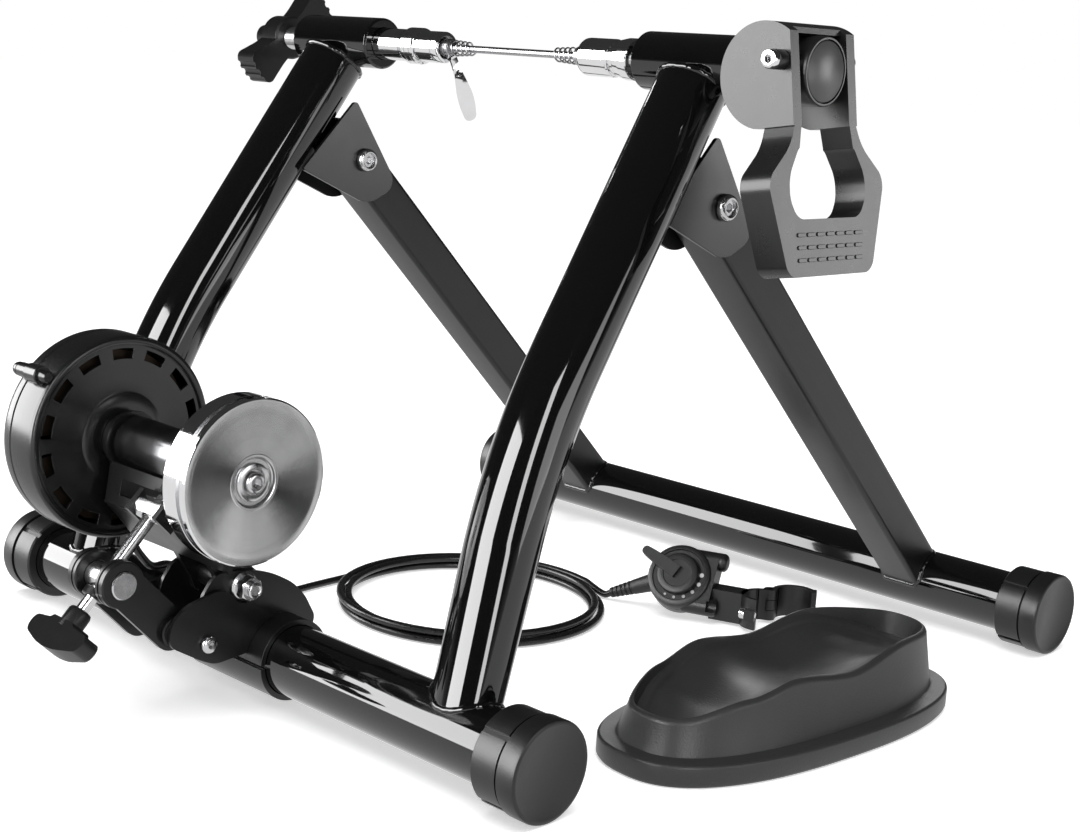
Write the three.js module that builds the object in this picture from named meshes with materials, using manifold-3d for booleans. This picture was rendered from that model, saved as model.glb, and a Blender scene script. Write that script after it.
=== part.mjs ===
// Folding magnetic bicycle trainer with its remote cable and front-wheel riser block.
// Millimetres, +Z up. X runs along the wheel axle towards the release lever, and Y from the
// cross tube that carries the resistance unit to the one on the folding legs.
// The pieces are placed from the axle line (Y = 0); the last lines move the whole group so
// that its origin lies on the floor under the middle of the trainer.

import * as THREE from 'three';
import { mergeVertices } from 'three/addons/utils/BufferGeometryUtils.js';
import Module from 'manifold-3d';

const wasm = await Module();
wasm.setup();

// Shared sizes
const clearance = 0.3; // between pieces that touch
const overrun = 6; // a cutting tool passes the face it cuts by this much
const weldTolerance = 1e-3; // vertices closer than this are one
const roundingShare = 0.45; // the most of a side that one rounded corner takes
const turn = 2 * Math.PI;
const degree = Math.PI / 180;
const facets = { large: 24, tube: 16, pipe: 12, hole: 12, bolt: 8, hex: 6, corner: 2 };

// Welded stand
const tube = { radius: 21, wall: 1.8 };
const cap = {
  radius: 28, rimChamfer: 2, discLength: 12, grooveWidth: 1.6, grooveDepth: 1.6,
  collarRadius: 27.2, length: 32, endWall: 9, slotCount: 4, slotWidth: 3.2, slotDepth: 1.5,
};
const stand = {
  axleHeight: 384, rearTubeBack: 184.5, rearHalfWidth: 247.5, frontTubeAhead: 290,
  frontHalfWidth: 271.5, legTopSide: 160, legFootInset: 68.5, legBendLead: 55, legTopGap: 6,
  legSteps: 10,
  // Where a main leg bends, as shares of its way outwards, back and up
  legBendSideShare: 0.658, legBendBackShare: 0.7588, legBendHeightShare: 0.4583,
};
const barrel = {
  radius: 17, innerEnd: 119, outerEnd: 197, chamfer: 1.2, neckLength: 14, rightBore: 11,
};

// Hinge brackets and folding legs
const hinge = {
  ahead: 6, belowAxle: 80.3, plateGap: 2, plateThickness: 2.6, boltRadius: 4,
  headRadius: 8, headHeight: 5, headCrown: 5.6, nutRadius: 7, nutHeight: 5.5,
  socketRadius: 2.6, socketDepth: 2.5, webThickness: 2.6, webStart: 12, webLength: 11,
};
// The top and the heel lie ahead of the main leg's centre line, the others of the hinge bolt
const bracketTop = { ahead: 22.3, above: 41.3, corner: 4 };
const bracketHeel = { ahead: 9.2, below: 6.2, corner: 3 };
const bracketToe = { ahead: 4, below: 31.5, corner: 9 };
const bracketTip = { ahead: 31, below: 18.5, corner: 12 };
const foldingLeg = { width: 30, wall: 1.6, corner: 3, overhang: 24, boltBush: 6 };

// Clamp that holds the resistance unit on the rear tube
const clampBase = {
  saddleWall: 3.2, saddleHalfLength: 38, saddleGap: 2.4, plateInner: 18.5, plateThickness: 2.6,
  outerPlateGap: 0.4, pivotAhead: -26, pivotAbove: 45.7, armPinBack: 104, armPinAbove: 58.6,
  armWidth: 23, armInner: 13.6, armThickness: 4.2, earRadius: 13.5, earInner: 9.4,
  pinRadius: 8, pinOverhang: 1.4, crossBoltBack: 52, crossBoltAbove: 16.5, crossBoltRadius: 3,
  crossHeadRadius: 5.2, crossHeadHeight: 3.4, spacerRadius: 8.5, spacerBack: 72,
  spacerAbove: 26.5, spacerRib: 1.2, spacerRibs: 4,
  // Corners of the side plates from the tube's centre, as shares of their reach
  plateReach: 58.5,
  plateShares: [
    [0.4, 0.15, 0.08], [0.49, 0.28, 0.1], [0.28, 0.65, 0.2], [-0.18, 0.91, 0.25],
    [-0.77, 0.97, 0.12], [-0.95, 0.72, 0.1], [-1, 0.2, 0.06], [-0.7, 0.1, 0.06],
    [-0.35, 0.07]],
  outerReach: 77.5,
  outerShares: [
    [-1, 0.25, 0.05], [-1, 0.4, 0.07], [-0.88, 0.53, 0.08], [-0.56, 0.61, 0.06],
    [-0.06, 0.32], [-0.24, 0.08], [-0.6, 0.04, 0.05], [-0.74, 0.1, 0.05]],
};
const pivotBolt = {
  radius: 5, flangeRadius: 9, flangeHeight: 2, hexRadius: 7.6, hexHeight: 6.5, tipLength: 3.5,
};

// Resistance unit, measured from the roller's axis
const unit = {
  back: 236.8, height: 147.5, cheekLeft: -57, cheekRight: 37, cheekThickness: 3,
  bossRadius: 15, bossLength: 6.7, bearingRadius: 11, bearingWidth: 7, shaftRadius: 5,
  webThickness: 3, lugInner: 13.4, lugThickness: 4.6, lugRadius: 12.5, windowMargin: 14,
  windowShare: 0.3, windowPlaceShare: 0.34, rollerPlay: 1.6, rodPlay: 1,
  trunnionBack: 20.1, trunnionBelow: 27.2, trunnionRadius: 7, trunnionHalfLength: 11,
  trunnionEar: 10.5, trunnionEarWidth: 4, journalRadius: 3.5, yokeDrop: 74,
  // Corners of a cheek from the roller's axis, as shares of the drop to the pivot: front,
  // toe, heel and back; and of the lug round the pivot, as shares of its radius
  cheekShares: [
    [-0.14, -0.03, 0.02], [-0.205, -0.466, 0.06], [0.04, -0.76, 0.06], [0.31, -0.53, 0.08],
    [0.2, -0.2]],
  lugShares: [[-0.48, -0.88], [0.68, 0.73]],
};
const roller = { radius: 15.5, endGap: 2.2, endChamfer: 1.5, shaftLeft: -91, shaftRight: 60 };
const flywheel = {
  radius: 47, innerFace: 45, outerFace: 65, bevel: 1.2, grooveStart: 12.5, grooveWidth: 3.4,
  grooveDepth: 2.6, faceDip: 1.4, faceDipRadius: 42, hubRingRadius: 14.5, hubRadius: 12.6,
  hubDip: 3.2, backPocketRadius: 36, backPocketDepth: 8, hubBossRadius: 13, screwRadius: 6,
  screwHeight: 4, socketRadius: 3, socketDepth: 2.6,
};
const drum = {
  radius: 61, face: -64, seam: -87, back: -97, wall: 2.4, faceDishRadius: 57, faceDish: 1.4,
  hubRadius: 20, hubRise: 1.2, shaftHoleRadius: 8, rimBevel: 2, slotCount: 14, slotLength: 14,
  slotWidth: 6, slotRadius: 50.5, coverDome: 5, coverRingRadius: 26, seamStep: 1.2,
  stopAngle: 141, stopLength: 27, stopRadius: 5.4, stopLift: 4, stopTipLength: 7, stopTipRadius: 3.6,
  glandAngle: -70.4, glandLength: 17.2, glandRadius: 5, glandTipRadius: 2.5,
  glandNeckShare: 0.3,
};
const brake = {
  discRadius: 52, discThickness: 3, discFace: -72, hubRadius: 11, carrierRadius: 50,
  carrierThickness: 3, carrierFace: -84, magnetCount: 8, magnetRadius: 6.5, magnetHeight: 4.5,
  magnetRing: 38, carrierBore: 8,
};

// Tension screw
const tension = {
  rodRadius: 4, tipPast: 9, collarRadius: 6.5, collarLength: 5, stemRadius: 8.5, stemLength: 13,
  barHalf: 26, barWidth: 15, barDepth: 17, barBow: 5, barFromPin: 40, gripTaper: 3,
};

// Axle cups and skewer
const leftCup = {
  face: -56, cupRadius: 10.2, cupLength: 21.5, collarRadius: 11.9, collarLength: 13,
  sleeveRadius: 10.5, sleeveLength: 32, holeRadius: 6.4, holeDepth: 15, step: 1.2,
};
const knob = {
  screwRadius: 8, screwShown: 21, wingThickness: 18, hubRadius: 8.4, hubLength: 16, coreRadius: 15,
  wingReach: 39, tipWidth: 27, neckWidth: 17, angle: 40, gripCount: 3, gripRadius: 2.1,
};
const rightCup = {
  face: 70, cupRadius: 11, cupLength: 27, grooveLength: 3.2, grooveRadius: 9.6,
  collarRadius: 12.4, collarLength: 11.2, shaftRadius: 7.8, shaftInset: 12, holeRadius: 6.4,
  holeDepth: 15, step: 1.4,
};
const skewer = {
  rodRadius: 2.3, headRadius: 5.9, headLength: 11, headInset: 5, nutRadius: 5.9, nutLength: 11,
  nutInset: 3.5, knurlStep: 0.8, leverLength: 47, leverWidth: 9.5, leverNeck: 6,
  leverThickness: 2.2, leverAngle: 26, camRadius: 2.4, flatBelow: 2.6,
  leverAhead: 3, widestShare: 0.62,
};
const spring = {
  wire: 0.55, coilWide: 5, coilNarrow: 3.9, turns: 4, length: 17, gap: 0.6, curlSteps: 8, sides: 5,
};

// Quick-release lever over the right barrel
const plunger = { radius: 19, end: 244, chamfer: 1.4, capRadius: 18.4, capThickness: 2.2 };
const release = {
  pinSide: 238, pinAbove: 5, tilt: 9, earInner: 22, earOuter: 29.5, earBack: 13,
  earDrop: 7, earRadius: 29, front: 6, depth: 20, hoodBack: 7, neckDrop: 35, neckOverlap: 2,
  pinRadius: 4, headRadius: 5.4, headLength: 12, socketRadius: 2.6, socketDepth: 3,
  hubRadius: 13.6, hubGap: 1, hoodReach: 9, slotDrop: 13.6, ribCount: 3, ribLength: 46,
  ribWidth: 3, ribHeight: 0.8, ribPitch: 6.8, ribAboveEdge: 9, cornerRound: 7, endWasher: 2,
};
const handShape = {
  waistDrop: 46, waistHalf: 33, shoulderDrop: 64, shoulderHalf: 54, bottomDrop: 116,
  bottomHalf: 39, holeTopHalf: 25, holeTopDrop: 46, holeHalf: 35, holeWideDrop: 62,
  holeLowDrop: 74, holeBottomHalf: 29, holeBottomDrop: 85,
};

// Remote control on the floor
const remote = {
  side: 58, ahead: 146, heading: 21, bodyRadius: 23, bodyThickness: 19, bodyTilt: 34,
  bodyBevel: 2.5, floorGap: 0.2, dialRadius: 16, dialThickness: 4, dialPinRadius: 3,
  fingerLength: 31, fingerWidth: 9, fingerHeight: 6.5, fingerAngle: 25, knuckleRadius: 6.5,
  knuckleLength: 27, knuckleOut: 17, knuckleUp: 17, bootLength: 29, bootWide: 6.5,
  bootNarrow: 3.6, bootTipHeight: 5, bootBodyHeight: 20, bootSink: 6, neckStart: 24,
  neckLength: 21, neckWidth: 15, barRadius: 12.3, bandWall: 3.4, bandHeight: 22,
  bandLift: 1.6, bandGap: 1.2, pinOut: 1.2, pinRadius: 2.2, bandOpen: 105, screwRadius: 2,
  screwHeadRadius: 3.6, screwHeadLength: 4, lugLength: 7, barrelRadius: 4.6,
};

// Remote cable: the coil is worked out below, the loose stretches have chosen points
const cable = {
  radius: 2.5, sides: 8, coilSides: 6, stepsPerTurn: 24, leadSteps: 24, tailSteps: 4,
};
const coil = {
  side: -41, ahead: 34, outerRadius: 95.5, pitch: 6.6, startAngle: 188, turnsIn: 1.5,
  climbTurns: 0.5, turnsOut: 1.31, layerRise: 5.5, floorGap: 0.2,
};

// Riser block for the front wheel
const riser = {
  side: 236, ahead: 27, halfWidth: 59, halfLength: 134, flangeHeight: 13, flangeRound: 2,
  footInset: 1.5, ledge: 11, topHeight: 52, topRound: 4, draft: 5, troughDepth: 15,
  squareness: 2.5, sides: 32, topRings: 4, heading: -4,
  // Height of the rims along the block, as shares of the half length and of the top height
  rimShares: [
    [-1, 0.62], [-0.62, 0.8], [-0.3, 0.93], [0.1, 0.84], [0.55, 1], [1, 0.94]],
};

// Colours
const paint = {
  gloss: { color: 0x0b0b0d, roughness: 0.2, metalness: 0.3 },
  satin: { color: 0x17181a, roughness: 0.5, metalness: 0.2 },
  plastic: { color: 0x1c1d1f, roughness: 0.6, metalness: 0 },
  greyPlastic: { color: 0x6e7072, roughness: 0.5, metalness: 0 },
  rubber: { color: 0x161617, roughness: 0.85, metalness: 0 },
  chrome: { color: 0xd8dadc, roughness: 0.12, metalness: 1 },
  steel: { color: 0xa9acb0, roughness: 0.32, metalness: 1 },
  brass: { color: 0xb08d4a, roughness: 0.4, metalness: 1 },
  copper: { color: 0xb87345, roughness: 0.4, metalness: 1 },
};

// Values that follow from the sizes above
const tubeHeight = cap.radius * Math.cos(Math.PI / facets.large);
const rearTube = new THREE.Vector3(0, -stand.rearTubeBack, tubeHeight);
const frontTube = new THREE.Vector3(0, stand.frontTubeAhead, tubeHeight);
const hingePoint = new THREE.Vector3(0, hinge.ahead, stand.axleHeight - hinge.belowAxle);
const plateInset = foldingLeg.width / 2 + hinge.plateGap;
const unitAxis = new THREE.Vector3(0, -unit.back, unit.height);
const pivotPoint = new THREE.Vector3(
  0, rearTube.y + clampBase.pivotAhead, rearTube.z + clampBase.pivotAbove);
const armPin = new THREE.Vector3(
  0, rearTube.y - clampBase.armPinBack, rearTube.z + clampBase.armPinAbove);
const trunnionPoint = new THREE.Vector3(
  0, unitAxis.y - unit.trunnionBack, unitAxis.z - unit.trunnionBelow);

const trainer = new THREE.Group();

// Geometry helpers

function toSolid(geometry) {
  if (geometry instanceof wasm.Manifold) return geometry;
  const bare = geometry.clone();
  for (const name of Object.keys(bare.attributes)) {
    if (name !== 'position') bare.deleteAttribute(name);
  }
  const merged = mergeVertices(bare, weldTolerance);
  const triangles = [];
  for (let i = 0; i < merged.index.count; i += 3) {
    const [a, b, c] = [0, 1, 2].map((k) => merged.index.getX(i + k));
    if (a !== b && b !== c && c !== a) triangles.push(a, b, c);
  }
  return new wasm.Manifold(new wasm.Mesh({
    numProp: 3,
    vertProperties: new Float32Array(merged.attributes.position.array),
    triVerts: new Uint32Array(triangles),
  }));
}

function toGeometry(solid) {
  if (!(solid instanceof wasm.Manifold)) return toGeometry(toSolid(solid));
  const mesh = solid.getMesh();
  const points = [];
  for (let i = 0; i < mesh.vertProperties.length; i += mesh.numProp) {
    points.push(...mesh.vertProperties.slice(i, i + 3));
  }
  const geometry = new THREE.BufferGeometry();
  geometry.setAttribute('position', new THREE.Float32BufferAttribute(points, 3));
  geometry.setIndex([...mesh.triVerts]);
  geometry.computeVertexNormals();
  return geometry;
}

function join(...pieces) {
  return pieces.map(toSolid).reduce((sum, piece) => sum.add(piece));
}

function cut(base, ...tools) {
  return tools.map(toSolid).reduce((rest, tool) => rest.subtract(tool), toSolid(base));
}

function common(first, second) {
  return toSolid(first).intersect(toSolid(second));
}

function placed(geometry, place, spin = [0, 0, 0]) {
  const copy = geometry instanceof wasm.Manifold ? toGeometry(geometry) : geometry.clone();
  copy.applyMatrix4(new THREE.Matrix4().makeRotationFromEuler(new THREE.Euler(...spin)));
  return copy.translate(place[0], place[1], place[2]);
}

function addPiece(name, shape, finish, parent = trainer) {
  const mesh = new THREE.Mesh(toGeometry(shape), new THREE.MeshStandardMaterial(paint[finish]));
  mesh.name = name;
  parent.add(mesh);
  return mesh;
}

// A round bar along X from one place to the other
function bar(radius, from, to, sides = facets.bolt) {
  const geometry = new THREE.CylinderGeometry(radius, radius, to - from, sides);
  geometry.rotateZ(-Math.PI / 2);
  return geometry.translate((from + to) / 2, 0, 0);
}

// A revolved piece on the X axis, from pairs of [place along X, radius] in either order
function turned(profile, sides = facets.large) {
  const points = profile.map(([along, radius]) => new THREE.Vector2(radius, along));
  if (THREE.ShapeUtils.area(points) < 0) points.reverse();
  const geometry = new THREE.LatheGeometry(points, sides);
  return geometry.rotateZ(-Math.PI / 2);
}

function ring(outer, inner, from, to, sides = facets.tube) {
  return turned(
    [[from, inner], [from, outer], [to, outer], [to, inner], [from, inner]], sides);
}

function block(width, depth, height, place = [0, 0, 0], spin = [0, 0, 0]) {
  return placed(new THREE.BoxGeometry(width, depth, height), place, spin);
}

// An outline whose corners are [first, second, rounding]; a rounding stays under its share
// of the shorter side next to it
function outline(corners) {
  const shape = new THREE.Shape();
  corners.forEach(([x, y, wanted = 0], i) => {
    const here = new THREE.Vector2(x, y);
    const before = new THREE.Vector2(...corners.at(i - 1).slice(0, 2));
    const after = new THREE.Vector2(...corners[(i + 1) % corners.length].slice(0, 2));
    const rounding = Math.min(
      wanted, roundingShare * here.distanceTo(before), roundingShare * here.distanceTo(after));
    const start = here.clone().add(before.sub(here).setLength(rounding));
    const end = here.clone().add(after.sub(here).setLength(rounding));
    if (i === 0) shape.moveTo(start.x, start.y);
    else shape.lineTo(start.x, start.y);
    if (rounding > 0) shape.quadraticCurveTo(here.x, here.y, end.x, end.y);
  });
  shape.closePath();
  return shape;
}

function extrude(shape, thickness, curveSegments = facets.corner) {
  return new THREE.ExtrudeGeometry(
    shape, { depth: thickness, bevelEnabled: false, curveSegments });
}

// A plate drawn in Y and Z, from one X to the other
function plate(shape, from, to, curveSegments) {
  const geometry = extrude(shape, to - from, curveSegments);
  const basis = new THREE.Matrix4().makeBasis(
    new THREE.Vector3(0, 1, 0), new THREE.Vector3(0, 0, 1), new THREE.Vector3(1, 0, 0));
  geometry.applyMatrix4(basis);
  return geometry.translate(from, 0, 0);
}

function discShape(radius, place = [0, 0]) {
  const shape = new THREE.Shape();
  shape.absarc(place[0], place[1], radius, 0, turn, false);
  return shape;
}

function ringShape(outer, inner) {
  const shape = discShape(outer);
  const hole = new THREE.Path();
  hole.absarc(0, 0, inner, 0, turn, true);
  shape.holes.push(hole);
  return shape;
}

// A hexagonal socket cut into a bolt head whose top is at X = 0 and faces +X
function socketTool(radius, depth) {
  return bar(radius, -depth, overrun, facets.hex);
}

// Stand

function crossTube(halfWidth, centre) {
  const end = halfWidth - cap.endWall - clearance;
  return placed(
    ring(tube.radius, tube.radius - tube.wall, -end, end), centre.toArray());
}

function endCap() {
  const bore = tube.radius + clearance;
  const grooveEnd = cap.discLength + cap.grooveWidth;
  const body = turned([
    [0, 0], [0, cap.radius - cap.rimChamfer], [cap.rimChamfer, cap.radius],
    [cap.discLength, cap.radius], [cap.discLength, cap.radius - cap.grooveDepth],
    [grooveEnd, cap.radius - cap.grooveDepth], [grooveEnd, cap.collarRadius],
    [cap.length, cap.collarRadius], [cap.length, bore], [cap.endWall, bore], [cap.endWall, 0],
  ]);
  body.rotateX(Math.PI / facets.large);
  const slots = [];
  for (let i = 0; i < cap.slotCount; i += 1) {
    const length = cap.length - grooveEnd + overrun;
    const slot = block(length, cap.slotWidth, cap.slotDepth * 2,
      [grooveEnd + length / 2, 0, cap.collarRadius]);
    slots.push(slot.rotateX((i + 1 / 2) * turn / cap.slotCount));
  }
  return cut(body, ...slots);
}

function addEndCaps(name, halfWidth, centre, parent) {
  const left = addPiece(`${name}_left`, endCap(), 'plastic', parent);
  left.position.set(-halfWidth, centre.y, centre.z);
  const right = addPiece(`${name}_right`, endCap(), 'plastic', parent);
  right.position.set(halfWidth, centre.y, centre.z);
  right.rotation.z = Math.PI;
}

// Where a main leg starts, bends and ends; side is -1 or 1
function mainLegPlaces(side) {
  const top = new THREE.Vector3(side * stand.legTopSide, 0, stand.axleHeight);
  const foot = new THREE.Vector3(
    side * (stand.rearHalfWidth - stand.legFootInset), rearTube.y, rearTube.z);
  const bend = new THREE.Vector3(
    top.x + (foot.x - top.x) * stand.legBendSideShare,
    rearTube.y * stand.legBendBackShare, stand.axleHeight * stand.legBendHeightShare);
  return { top, bend, foot };
}

// How far back the centre line of a main leg is at a height above its bend
function mainLegBack(height) {
  const { top, bend } = mainLegPlaces(1);
  return bend.y * (top.z - height) / (top.z - bend.z);
}

function mainLegPath(side) {
  const { top, bend, foot } = mainLegPlaces(side);
  const toward = (from, to, distance) =>
    from.clone().add(to.clone().sub(from).setLength(distance));
  const path = new THREE.CurvePath();
  const bendIn = toward(bend, top, stand.legBendLead);
  const bendOut = toward(bend, foot, stand.legBendLead);
  path.add(new THREE.LineCurve3(toward(top, bend, stand.legTopGap), bendIn));
  path.add(new THREE.QuadraticBezierCurve3(bendIn, bend, bendOut));
  path.add(new THREE.LineCurve3(bendOut, foot));
  return path;
}

function sweepLeg(side, shape) {
  return new THREE.ExtrudeGeometry(shape, {
    steps: stand.legSteps, extrudePath: mainLegPath(side), bevelEnabled: false,
    curveSegments: facets.pipe / 2,
  });
}

function barrelTool() {
  return placed(
    bar(barrel.radius + clearance, -stand.rearHalfWidth, stand.rearHalfWidth, facets.large),
    [0, 0, stand.axleHeight]);
}

function rearTubeTool() {
  return placed(
    bar(tube.radius + clearance, -stand.rearHalfWidth, stand.rearHalfWidth, facets.large),
    rearTube.toArray());
}

function mainLeg(side) {
  const leg = sweepLeg(side, ringShape(tube.radius, tube.radius - tube.wall));
  return cut(leg, barrelTool(), rearTubeTool());
}

// One bore from the inner end to a step, and another from there to the outer end
function axleBarrel(innerBore, outerBore, step) {
  const { radius, innerEnd, outerEnd, chamfer } = barrel;
  return turned([
    [innerEnd, innerBore], [innerEnd, radius - chamfer], [innerEnd + chamfer, radius],
    [outerEnd - chamfer, radius], [outerEnd, radius - chamfer], [outerEnd, outerBore],
    [step, outerBore], [step, innerBore], [innerEnd, innerBore],
  ], facets.tube);
}

// Direction of the folding leg, from the hinge down to the front tube
const foldDirection = frontTube.clone().sub(hingePoint).normalize();
const foldAngle = Math.atan2(foldDirection.z, foldDirection.y);

function hingeBracket(side) {
  const corner = (ahead, above, rounding) =>
    [hingePoint.y + ahead, hingePoint.z + above, rounding];
  const onLeg = (ahead, above, rounding) =>
    corner(mainLegBack(hingePoint.z + above) + ahead - hingePoint.y, above, rounding);
  const shape = outline([
    onLeg(bracketTop.ahead, bracketTop.above, bracketTop.corner),
    onLeg(bracketHeel.ahead, -bracketHeel.below, bracketHeel.corner),
    corner(bracketToe.ahead, -bracketToe.below, bracketToe.corner),
    corner(bracketTip.ahead, -bracketTip.below, bracketTip.corner),
  ]);
  const middle = side * stand.legTopSide;
  const outer = plateInset + hinge.plateThickness;
  const plates = [-outer, plateInset].map(
    (offset) => plate(shape, middle + offset, middle + offset + hinge.plateThickness));
  // The web lies under the upper end of the folding leg and stops it when it is open; it starts
  // far enough from the bolt for the leg to fold past it
  const under = foldingLeg.width / 2 + clearance + hinge.webThickness / 2;
  const web = block(2 * plateInset + hinge.plateThickness, hinge.webLength,
    hinge.webThickness, [0, -hinge.webStart - hinge.webLength / 2, -under]);
  const webPlaced = placed(web.rotateX(foldAngle), [middle, hingePoint.y, hingePoint.z]);
  const boltHole = placed(
    bar(hinge.boltRadius + clearance, middle - outer - overrun, middle + outer + overrun,
      facets.hole),
    hingePoint.toArray());
  const envelope = sweepLeg(side, discShape(tube.radius + clearance));
  return cut(join(...plates, webPlaced), envelope, boltHole);
}

function hingeBolt(side) {
  const outer = plateInset + hinge.plateThickness + clearance;
  const headTop = outer + hinge.headHeight;
  const head = turned([
    [outer, 0], [outer, hinge.headRadius], [headTop - hinge.headHeight / 2, hinge.headRadius],
    [headTop, hinge.headCrown], [headTop, 0],
  ], facets.tube);
  const bolt = join(
    head, bar(hinge.boltRadius, -outer - hinge.nutHeight, outer + overrun / 2),
    bar(hinge.nutRadius, -outer - hinge.nutHeight, -outer, facets.hex));
  const socket = socketTool(hinge.socketRadius, hinge.socketDepth).translate(headTop, 0, 0);
  return placed(toGeometry(cut(bolt, socket)),
    [side * stand.legTopSide, hingePoint.y, hingePoint.z]);
}

function squareShape(width, rounding, wall) {
  const square = (half, round) => [
    [-half, -half, round], [half, -half, round], [half, half, round], [-half, half, round]];
  const shape = outline(square(width / 2, rounding));
  const inside = outline(square(width / 2 - wall, rounding - wall / 2));
  shape.holes.push(new THREE.Path(inside.getPoints(facets.corner).reverse()));
  return shape;
}

function squareLeg(side) {
  const length = frontTube.distanceTo(hingePoint) + foldingLeg.overhang;
  const shell = extrude(
    squareShape(foldingLeg.width, foldingLeg.corner, foldingLeg.wall), length);
  // Extruded along Z, the leg is turned to run from above the hinge down to the front tube
  shell.translate(0, 0, -foldingLeg.overhang);
  shell.rotateX(-Math.PI / 2);
  shell.rotateX(foldAngle);
  const leg = shell.translate(side * stand.legTopSide, hingePoint.y, hingePoint.z);
  const frontTool = placed(
    bar(tube.radius + clearance, -stand.frontHalfWidth, stand.frontHalfWidth, facets.large),
    frontTube.toArray());
  // The bush keeps the leg in the middle between the bracket plates
  const half = plateInset - clearance;
  const bush = placed(
    bar(foldingLeg.boltBush, -half, half, facets.pipe),
    [side * stand.legTopSide, hingePoint.y, hingePoint.z]);
  const hole = placed(
    bar(hinge.boltRadius + clearance, -half - overrun, half + overrun, facets.hole),
    [side * stand.legTopSide, hingePoint.y, hingePoint.z]);
  return cut(join(leg, bush), frontTool, hole);
}

addPiece('rear_cross_tube', crossTube(stand.rearHalfWidth, rearTube), 'gloss');
addEndCaps('rear_end_cap', stand.rearHalfWidth, rearTube, trainer);
addPiece('main_leg_left', mainLeg(-1), 'gloss');
addPiece('main_leg_right', mainLeg(1), 'gloss');
addPiece('axle_barrel_left', axleBarrel(
  leftCup.sleeveRadius + clearance, knob.screwRadius + clearance,
  barrel.outerEnd - barrel.neckLength), 'gloss').rotation.z = Math.PI;
addPiece('axle_barrel_right', axleBarrel(
  rightCup.shaftRadius + clearance, barrel.rightBore,
  barrel.innerEnd + barrel.neckLength), 'gloss');
for (const name of ['axle_barrel_left', 'axle_barrel_right']) {
  trainer.getObjectByName(name).position.z = stand.axleHeight;
}
addPiece('hinge_bracket_left', hingeBracket(-1), 'satin');
addPiece('hinge_bracket_right', hingeBracket(1), 'satin');
addPiece('hinge_bolt_left', hingeBolt(-1), 'chrome');
addPiece('hinge_bolt_right', hingeBolt(1), 'chrome');

const foldingFrame = new THREE.Group();
trainer.add(foldingFrame);
addPiece('folding_leg_left', squareLeg(-1), 'satin', foldingFrame);
addPiece('folding_leg_right', squareLeg(1), 'satin', foldingFrame);
addPiece('front_cross_tube', crossTube(stand.frontHalfWidth, frontTube), 'gloss', foldingFrame);
addEndCaps('front_end_cap', stand.frontHalfWidth, frontTube, foldingFrame);

// Clamp on the rear cross tube

// An outline whose corners are shares of one length, around a centre in Y and Z
function sharedOutline(shares, length, centre) {
  return outline(shares.map(([ahead, above, rounding = 0]) =>
    [centre.y + ahead * length, centre.z + above * length, rounding * length]));
}

function discAt(radius, point) {
  return discShape(radius, [point.y, point.z]);
}

// A round bar along X through a point
function barAt(point, radius, from, to, sides) {
  return placed(bar(radius, from, to, sides), [0, point.y, point.z]);
}

// One wall drawn in Y and Z on each side, at the same distance from the middle
function wallPair(shape, inner, thickness, curveSegments) {
  return [
    plate(shape, -inner - thickness, -inner, curveSegments),
    plate(shape, inner, inner + thickness, curveSegments),
  ];
}

const saddleRadius = tube.radius + clearance + clampBase.saddleWall;
const outerPlateInner = clampBase.plateInner + clampBase.plateThickness + clampBase.outerPlateGap;
const crossBoltPoint = new THREE.Vector3(
  0, rearTube.y - clampBase.crossBoltBack, rearTube.z + clampBase.crossBoltAbove);
const spacerPoint = new THREE.Vector3(
  0, rearTube.y - clampBase.spacerBack, rearTube.z + clampBase.spacerAbove);

function halfShell(upper) {
  const shell = ring(saddleRadius, tube.radius + clearance,
    -clampBase.saddleHalfLength, clampBase.saddleHalfLength, facets.large);
  const height = saddleRadius + overrun;
  const away = block(2 * (clampBase.saddleHalfLength + overrun), 2 * height, height,
    [0, 0, (upper ? -1 : 1) * (height - clampBase.saddleGap) / 2]);
  return placed(toGeometry(cut(shell, away)), rearTube.toArray());
}

function tubeSaddle() {
  const shape = sharedOutline(clampBase.plateShares, clampBase.plateReach, rearTube);
  const walls = wallPair(shape, clampBase.plateInner, clampBase.plateThickness);
  const half = clampBase.plateInner + clampBase.plateThickness + overrun;
  return cut(join(halfShell(true), ...walls),
    barAt(rearTube, tube.radius + clearance, -half, half, facets.large),
    barAt(pivotPoint, pivotBolt.radius + clearance, -half, half),
    barAt(crossBoltPoint, clampBase.crossBoltRadius + clearance, -half, half));
}

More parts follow.
